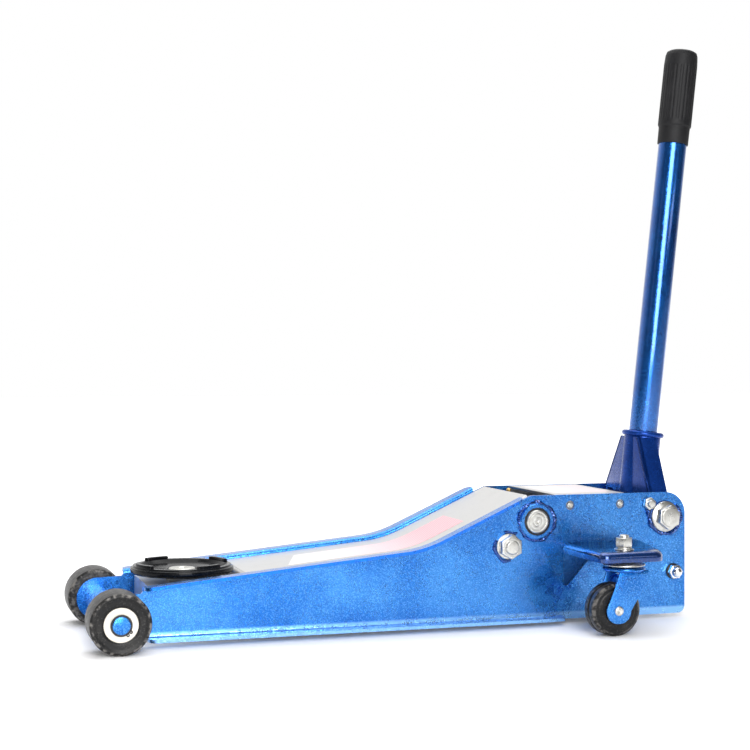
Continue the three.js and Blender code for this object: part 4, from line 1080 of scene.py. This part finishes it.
# %% Tube
TUBE_FOOT, TUBE_TOP = 32.0, 620.0
GRIP_LOW, GRIP_HIGH = 498.0, 626.0
tube_section = [
    (TUBE_RADIUS - 2.5, TUBE_FOOT), (TUBE_RADIUS, TUBE_FOOT), (TUBE_RADIUS, TUBE_TOP),
    (TUBE_RADIUS - 2.5, TUBE_TOP),
]
knuckle_section = [
    (0, -6.9), (3.6, -5.9), (6.2, -3.4), (7.2, 0), (6.2, 3.4), (4.4, 5.8), (4.4, TUBE_FOOT + 4),
    (16.6, TUBE_FOOT + 4), (16.6, TUBE_FOOT + 10), (0, TUBE_FOOT + 10),
]
tube = turn(tube_section, ORIGIN, Z_AXIS, rounding=0.4, steps=96)
keep_piece("handle_bar", from_pivot(tube), "handle", TUBE_BLUE, ["handle_tube"])
knuckle = turn(knuckle_section, ORIGIN, Z_AXIS, rounding=0.8, steps=48)
keep_piece("release_knuckle", from_pivot(knuckle), "handle", ZINC)

# %% Grip
FLUTES = 26
FLUTE_DEPTH = 0.55
SLEEVE = 22.3


def rubber_grip():
    bore = TUBE_RADIUS + 0.2
    section = [(0, TUBE_TOP + 0.3), (bore, TUBE_TOP + 0.3), (bore, GRIP_LOW), (20.6, GRIP_LOW)]
    section += [(20.8, GRIP_LOW + 20), (21.0, GRIP_LOW + 23), (SLEEVE, GRIP_LOW + 25.5)]
    section += [(SLEEVE, GRIP_LOW + step) for step in (30, 34, 50, 70, 90, 104, 108)]
    section += [(21.9, GRIP_HIGH - 13), (21.4, GRIP_HIGH - 7), (20.0, GRIP_HIGH - 2.6)]
    section += [(16.5, GRIP_HIGH - 0.5), (0, GRIP_HIGH)]
    bm = turn(section, ORIGIN, Z_AXIS, rounding=0.5, steps=FLUTES * 8)
    for vert in bm.verts:
        height = vert.co.z / MM - GRIP_LOW
        reach = Vector((vert.co.x, vert.co.y)).length / MM
        if reach < 21.6 or not 31 < height < 107:
            continue
        wave = 0.5 - 0.5 * math.cos(FLUTES * math.atan2(vert.co.y, vert.co.x))
        shrink = 1 - FLUTE_DEPTH * wave**2 / reach
        vert.co.x *= shrink
        vert.co.y *= shrink
    return from_pivot(bm)


keep_piece("grip_sleeve", rubber_grip(), "handle", GRIP, ["handle_grip"], crease=60)
print("grip is", GRIP_HIGH - GRIP_LOW, "mm long")

# %% [markdown]
# ## Rear casters
#
# Each caster hangs from a folded shelf that is welded to the side plate, with a triangular
# gusset in front. The shelf starts as its plan, is extruded down, and the rim is bevelled into a
# soft lip before the open shell gets its thickness.

# %% Caster shelf
CASTER_PIN = {side: axle_of(f"caster_swivel_{side}") for side in SIDES}
CASTER_WHEEL = {side: axle_of(f"caster_roll_{side}") for side in SIDES}
SHELF_LOW, SHELF_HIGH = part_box("caster_bracket_right")
SHELF_SKIN = 4.0
LIP_RADIUS = 7.5
LIP_DEPTH = 12.5


def caster_shelf():
    left, right = SHELF_LOW.x / MM, SHELF_HIGH.x / MM
    near, far = SHELF_LOW.y / MM, SHELF_HIGH.y / MM
    top = SHELF_HIGH.z / MM
    bm = bmesh.new()
    plan = [(left, near), (right, near), (right - 25, far - 13), (right - 35, far), (left, far)]
    corners = [bm.verts.new(Vector((x, y, top)) * MM) for x, y in plan]
    bm.faces.new(corners)
    for number, radius in ((2, 10), (3, 8), (4, 11)):
        bevel(bm, [corners[number]], radius * MM, 8, "VERTICES")
    deck = bm.faces[:]
    lifted = bmesh.ops.extrude_face_region(bm, geom=deck, use_keep_orig=True)
    moved = [v for v in lifted["geom"] if isinstance(v, bmesh.types.BMVert)]
    bmesh.ops.translate(bm, verts=moved, vec=Vector((0, 0, -LIP_DEPTH)) * MM)
    tidy(bm)
    rim = [e for e in bm.edges if all(abs(v.co.z - top * MM) < 1e-6 for v in e.verts)]
    rim = [e for e in rim if not all(abs(v.co.y - near * MM) < 1e-6 for v in e.verts)]
    bevel(bm, rim, LIP_RADIUS * MM, 6, "EDGES")
    under = [f for f in bm.faces if f.normal.z < -0.9]
    at_plate = [f for f in bm.faces if f.normal.y < -0.9]
    at_rear = [f for f in bm.faces if f.normal.x > 0.5 and f.calc_center_median().y < (far - 30) * MM]
    at_rear = [f for f in at_rear if abs(f.normal.z) < 0.2]
    bmesh.ops.delete(bm, geom=list(set(under + at_plate + at_rear)), context="FACES")
    return bm


def gusset():
    near, top = SHELF_LOW.y / MM, SHELF_HIGH.z / MM
    left, foot_z = SHELF_LOW.x / MM, SHELF_LOW.z / MM
    outline = [(near, top - 4), (near, foot_z), (near + 6, foot_z), (150, top - 13.6), (187, top - 12)]
    outline += [(187, top - 4)]
    return slab(outline, left + 0.2, left + 4.2, "YZ", edge=0.8)


for side, way in SIDES.items():
    shelf, brace = on_side(way, caster_shelf()), on_side(way, gusset())
    top_face = max(shelf.faces, key=lambda face: face.calc_area())
    if top_face.normal.z < 0:
        bmesh.ops.reverse_faces(shelf, faces=shelf.faces[:])
    stands_for = [f"caster_bracket_{side}"]
    piece = keep_piece(f"caster_shelf_{side}", shelf, "frame", SHELF_BLUE_PAINTED_SHADE, stands_for)
    wall = piece.modifiers.new("plate", "SOLIDIFY")
    wall.thickness = SHELF_SKIN * MM
    wall.offset = -1
    wall.use_even_offset = True
    trim = piece.modifiers.new("soft_edges", "BEVEL")
    trim.width = 0.5 * MM
    trim.segments = 2
    trim.limit_method = "ANGLE"
    trim.angle_limit = math.radians(50)
    keep_piece(f"caster_gusset_{side}", brace, "frame", GUSSET_BLUE_PAINTED_SHADE)
print("caster shelves reach", round(SHELF_HIGH.y / MM), "mm out")

# %% [markdown]
# The swivel is a ball race between the shelf and a pressed fork, held by a bolt with a spring
# washer and nut on top. The fork's crown is turned; its two legs are plate, wide at the crown
# and round at the wheel's rivet.


# %% Swivel, fork and wheel
def at_pin(section, rounding=0.4, steps=72, into=None):
    pin = CASTER_PIN["right"]
    return turn(section, Vector((pin.x, pin.y, 0)), Z_AXIS, rounding, steps, into)


def swivel_bolt():
    low, high = reach_of("swivel_bolt_right", "z")
    section = [(0, low), (10, low), (10, low + 3.7), (6, low + 3.7), (6, high - 1.2), (4.9, high), (0, high)]
    return at_pin(section, steps=40)


def swivel_nut():
    bm = bmesh.new()
    low, high = reach_of("swivel_nut_right", "z")
    pin = CASTER_PIN["right"]
    at_pin([(6.4, low), (12, low), (12, low + 1.6), (6.4, low + 1.6)], into=bm)
    at_pin([(6.4, low + 1.8), (9.4, low + 1.8), (9.4, low + 3.8), (6.4, low + 3.8)], into=bm)
    hexagon(19, low + 3.9, high, Vector((pin.x, pin.y, 0)), Z_AXIS, 0.5, into=bm)
    return bm


def swivel_race():
    low, high = reach_of("swivel_race_right", "z")
    section = [
        (6.4, low), (24, low), (25.8, low + 0.5), (25.8, low + 1.9), (21, low + 4.6), (16.4, low + 7),
        (16.0, high), (6.4, high),
    ]
    return at_pin(section, rounding=0.6)


FORK_LOW, FORK_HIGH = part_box("caster_fork_right")


def caster_fork():
    bm = bmesh.new()
    crown_top = FORK_HIGH.z / MM
    pin, wheel = CASTER_PIN["right"], CASTER_WHEEL["right"]
    crown = [
        (6.4, crown_top - 5), (24, crown_top - 5), (26, crown_top - 3), (26, crown_top - 1.2),
        (24.6, crown_top), (6.4, crown_top),
    ]
    at_pin(crown, rounding=0.9, into=bm)
    x, z = wheel.x / MM, wheel.z / MM
    eye = 15.8
    leg_top = crown_top - 3
    pin_x = pin.x / MM
    for start in (pin.y / MM + 16, pin.y / MM - 19):
        outline = [
            (pin_x + 24, leg_top), (pin_x - 14, leg_top), (pin_x - 18.5, leg_top - 15),
            (x - eye, z + 2), (x - eye, z - eye), (x + eye + 0.5, z - eye), (x + eye + 0.5, z - 1),
            (pin_x + 22.5, leg_top - 14),
        ]
        rounded = [(4, 15), (5, 14.5), (2, 8), (7, 8)]
        slab(outline, start, start + 3, "XZ", edge=0.6, rounded=rounded, into=bm)
    return bm


TREAD_GROOVE = 1.5


def caster_wheel():
    low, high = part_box("caster_wheel_right")
    wheel = CASTER_WHEEL["right"]
    r = (high.z - low.z) / 2 / MM
    inner, outer = low.y / MM, high.y / MM
    middle = (inner + outer) / 2
    section = [
        (4.4, inner), (r - 9, inner), (r - 8, inner + 0.8), (r - 4, inner + 0.2), (r, inner + 3),
        (r, middle - 2.4), (r - TREAD_GROOVE, middle - 1.2), (r - TREAD_GROOVE, middle + 1.2),
        (r, middle + 2.4), (r, outer - 3), (r - 4, outer - 0.2), (r - 8, outer - 0.8), (r - 9, outer),
        (4.4, outer),
    ]
    made = turn(section, Vector((wheel.x, 0, wheel.z)), Y_AXIS, rounding=0.7, steps=96)
    return mark_wear(made, wheel, inner, outer, r)


def wheel_rivet():
    low, high = reach_of("caster_axle_right")
    wheel = CASTER_WHEEL["right"]
    half = [
        (0, low + 0.9), (2.2, low + 0.9), (2.8, low), (4.4, low), (5.7, low + 0.9), (5.7, low + 1.9),
        (4, low + 1.9),
    ]
    middle = (low + high) / 2
    section = half + [(r, 2 * middle - y) for r, y in reversed(half)]
    return turn(section, Vector((wheel.x, 0, wheel.z)), Y_AXIS, rounding=0.3, steps=36)


for side, way in SIDES.items():
    shapes = {
        "swivel_bolt": (swivel_bolt(), "frame", "zinc_steel", ZINC),
        "swivel_nut": (swivel_nut(), "frame", "zinc_steel", ZINC),
        "swivel_race": (swivel_race(), "frame", "zinc_steel", ZINC),
        "caster_fork": (caster_fork(), f"caster_{side}", "blue_paint", BLUE),
        "caster_axle": (wheel_rivet(), f"caster_{side}", "zinc_steel", ZINC),
        "caster_wheel": (caster_wheel(), f"roll_{side}", "wheel_black", TREAD),
    }
    for base_name, (shape, body, slot, material) in shapes.items():
        stands_for = [f"{base_name}_{side}"]
        keep_piece(f"fine_{base_name}_{side}", on_side(way, shape), body, material, stands_for)

# %% [markdown]
# ## Labels
#
# The arm's cover carries a printed film, and the rear cover a smaller one. Each is cut from a
# copy of the cover's top faces with straight knife cuts, then lifted by the film's thickness. It
# is printed with a plain fade and fine slanting lines, and no words.


# %% Label film
def film(node_name, cuts, lift):
    """The upward faces of a solid's top skin, trimmed by (point, normal) knife cuts."""
    bm = bmesh.new()
    bm.from_mesh(frame["nodes"][node_name].data)
    bmesh.ops.remove_doubles(bm, verts=bm.verts[:], dist=2e-5)
    bm.normal_update()
    drop = [f for f in bm.faces if f.normal.z < 0.5]
    bmesh.ops.delete(bm, geom=drop, context="FACES")
    for point, direction in cuts:
        bmesh.ops.bisect_plane(
            bm,
            geom=bm.verts[:] + bm.edges[:] + bm.faces[:],
            plane_co=point,
            plane_no=direction,
            clear_outer=True,
        )
    bmesh.ops.translate(bm, verts=bm.verts[:], vec=(0, 0, lift * MM))
    return bm


def film_finish(name, start, end, pale, strong, stripe_scale, angle):
    """Printed film that fades along the jack from pale to strong, with slanting lines."""
    made = bpy.data.materials.new(name)
    made.use_nodes = True
    tree = made.node_tree
    shader = tree.nodes["Principled BSDF"]
    place = put(tree, "ShaderNodeTexCoord").outputs["Object"]
    apart = put(tree, "ShaderNodeSeparateXYZ", {"Vector": place})
    fade = spread(tree, apart.outputs["X"], start, end)
    cloud = put(tree, "ShaderNodeTexNoise", {"Vector": place, "Scale": 30.0})
    fade = math_node(tree, "MULTIPLY_ADD", cloud.outputs["Fac"], 0.15, fade, clamp=True)
    turned = put(tree, "ShaderNodeMapping", {"Vector": place, "Rotation": (0, 0, angle)})
    lines = put(tree, "ShaderNodeTexWave", {"Vector": turned.outputs["Vector"], "Scale": stripe_scale})
    line_mask = spread(tree, lines.outputs["Fac"], 0.55, 0.8, 0.0, 0.3)
    base = blend_colors(tree, fade, pale, strong)
    color = blend_colors(tree, line_mask, base, (0.95, 0.95, 0.95, 1))
    tree.links.new(color, shader.inputs["Base Color"])
    shader.inputs["Roughness"].default_value = 0.28
    shader.inputs["Coat Weight"].default_value = 0.4
    return made


ARM_LOW, ARM_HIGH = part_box("lift_arm")
COVER_LOW, COVER_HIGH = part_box("rear_cover")
LABEL_START = ARM_LOW.x + 125 * MM
LABEL_END = ARM_HIGH.x - 122 * MM
slant = Vector((1, -0.35, 0)).normalized()
arm_cuts = [
    (Vector((LABEL_END, 0, 0)), X_AXIS),
    (Vector((LABEL_START, 0, 0)), -slant),
    (Vector((0, 32 * MM, 0)), Y_AXIS),
    (Vector((0, -44 * MM, 0)), -Y_AXIS),
    (Vector((0, 0, 60 * MM)), -Z_AXIS),
]
ARM_FILM = film_finish(
    "arm_label_film",
    LABEL_START,
    LABEL_END,
    (0.85, 0.84, 0.85, 1),
    (0.93, 0.34, 0.40, 1),
    60.0,
    0.9,
)
COVER_FILM = film_finish(
    "cover_label_film",
    COVER_LOW.x,
    COVER_HIGH.x,
    (0.88, 0.80, 0.82, 1),
    (0.86, 0.55, 0.60, 1),
    120.0,
    0.6,
)
arm_label = film("lift_arm", arm_cuts, 0.12)
keep_piece("arm_label", arm_label, "arm", ARM_FILM)
cover_cuts = [
    (Vector((COVER_LOW.x + 12 * MM, 0, 0)), -X_AXIS),
    (Vector((COVER_HIGH.x - 10 * MM, 0, 0)), X_AXIS),
    (Vector((0, 58 * MM, 0)), Y_AXIS),
    (Vector((0, -58 * MM, 0)), -Y_AXIS),
    (Vector((0, 0, COVER_HIGH.z - 1 * MM)), -Z_AXIS),
]
cover_label = film("rear_cover", cover_cuts, 0.1)
keep_piece("cover_label", cover_label, "frame", COVER_FILM)
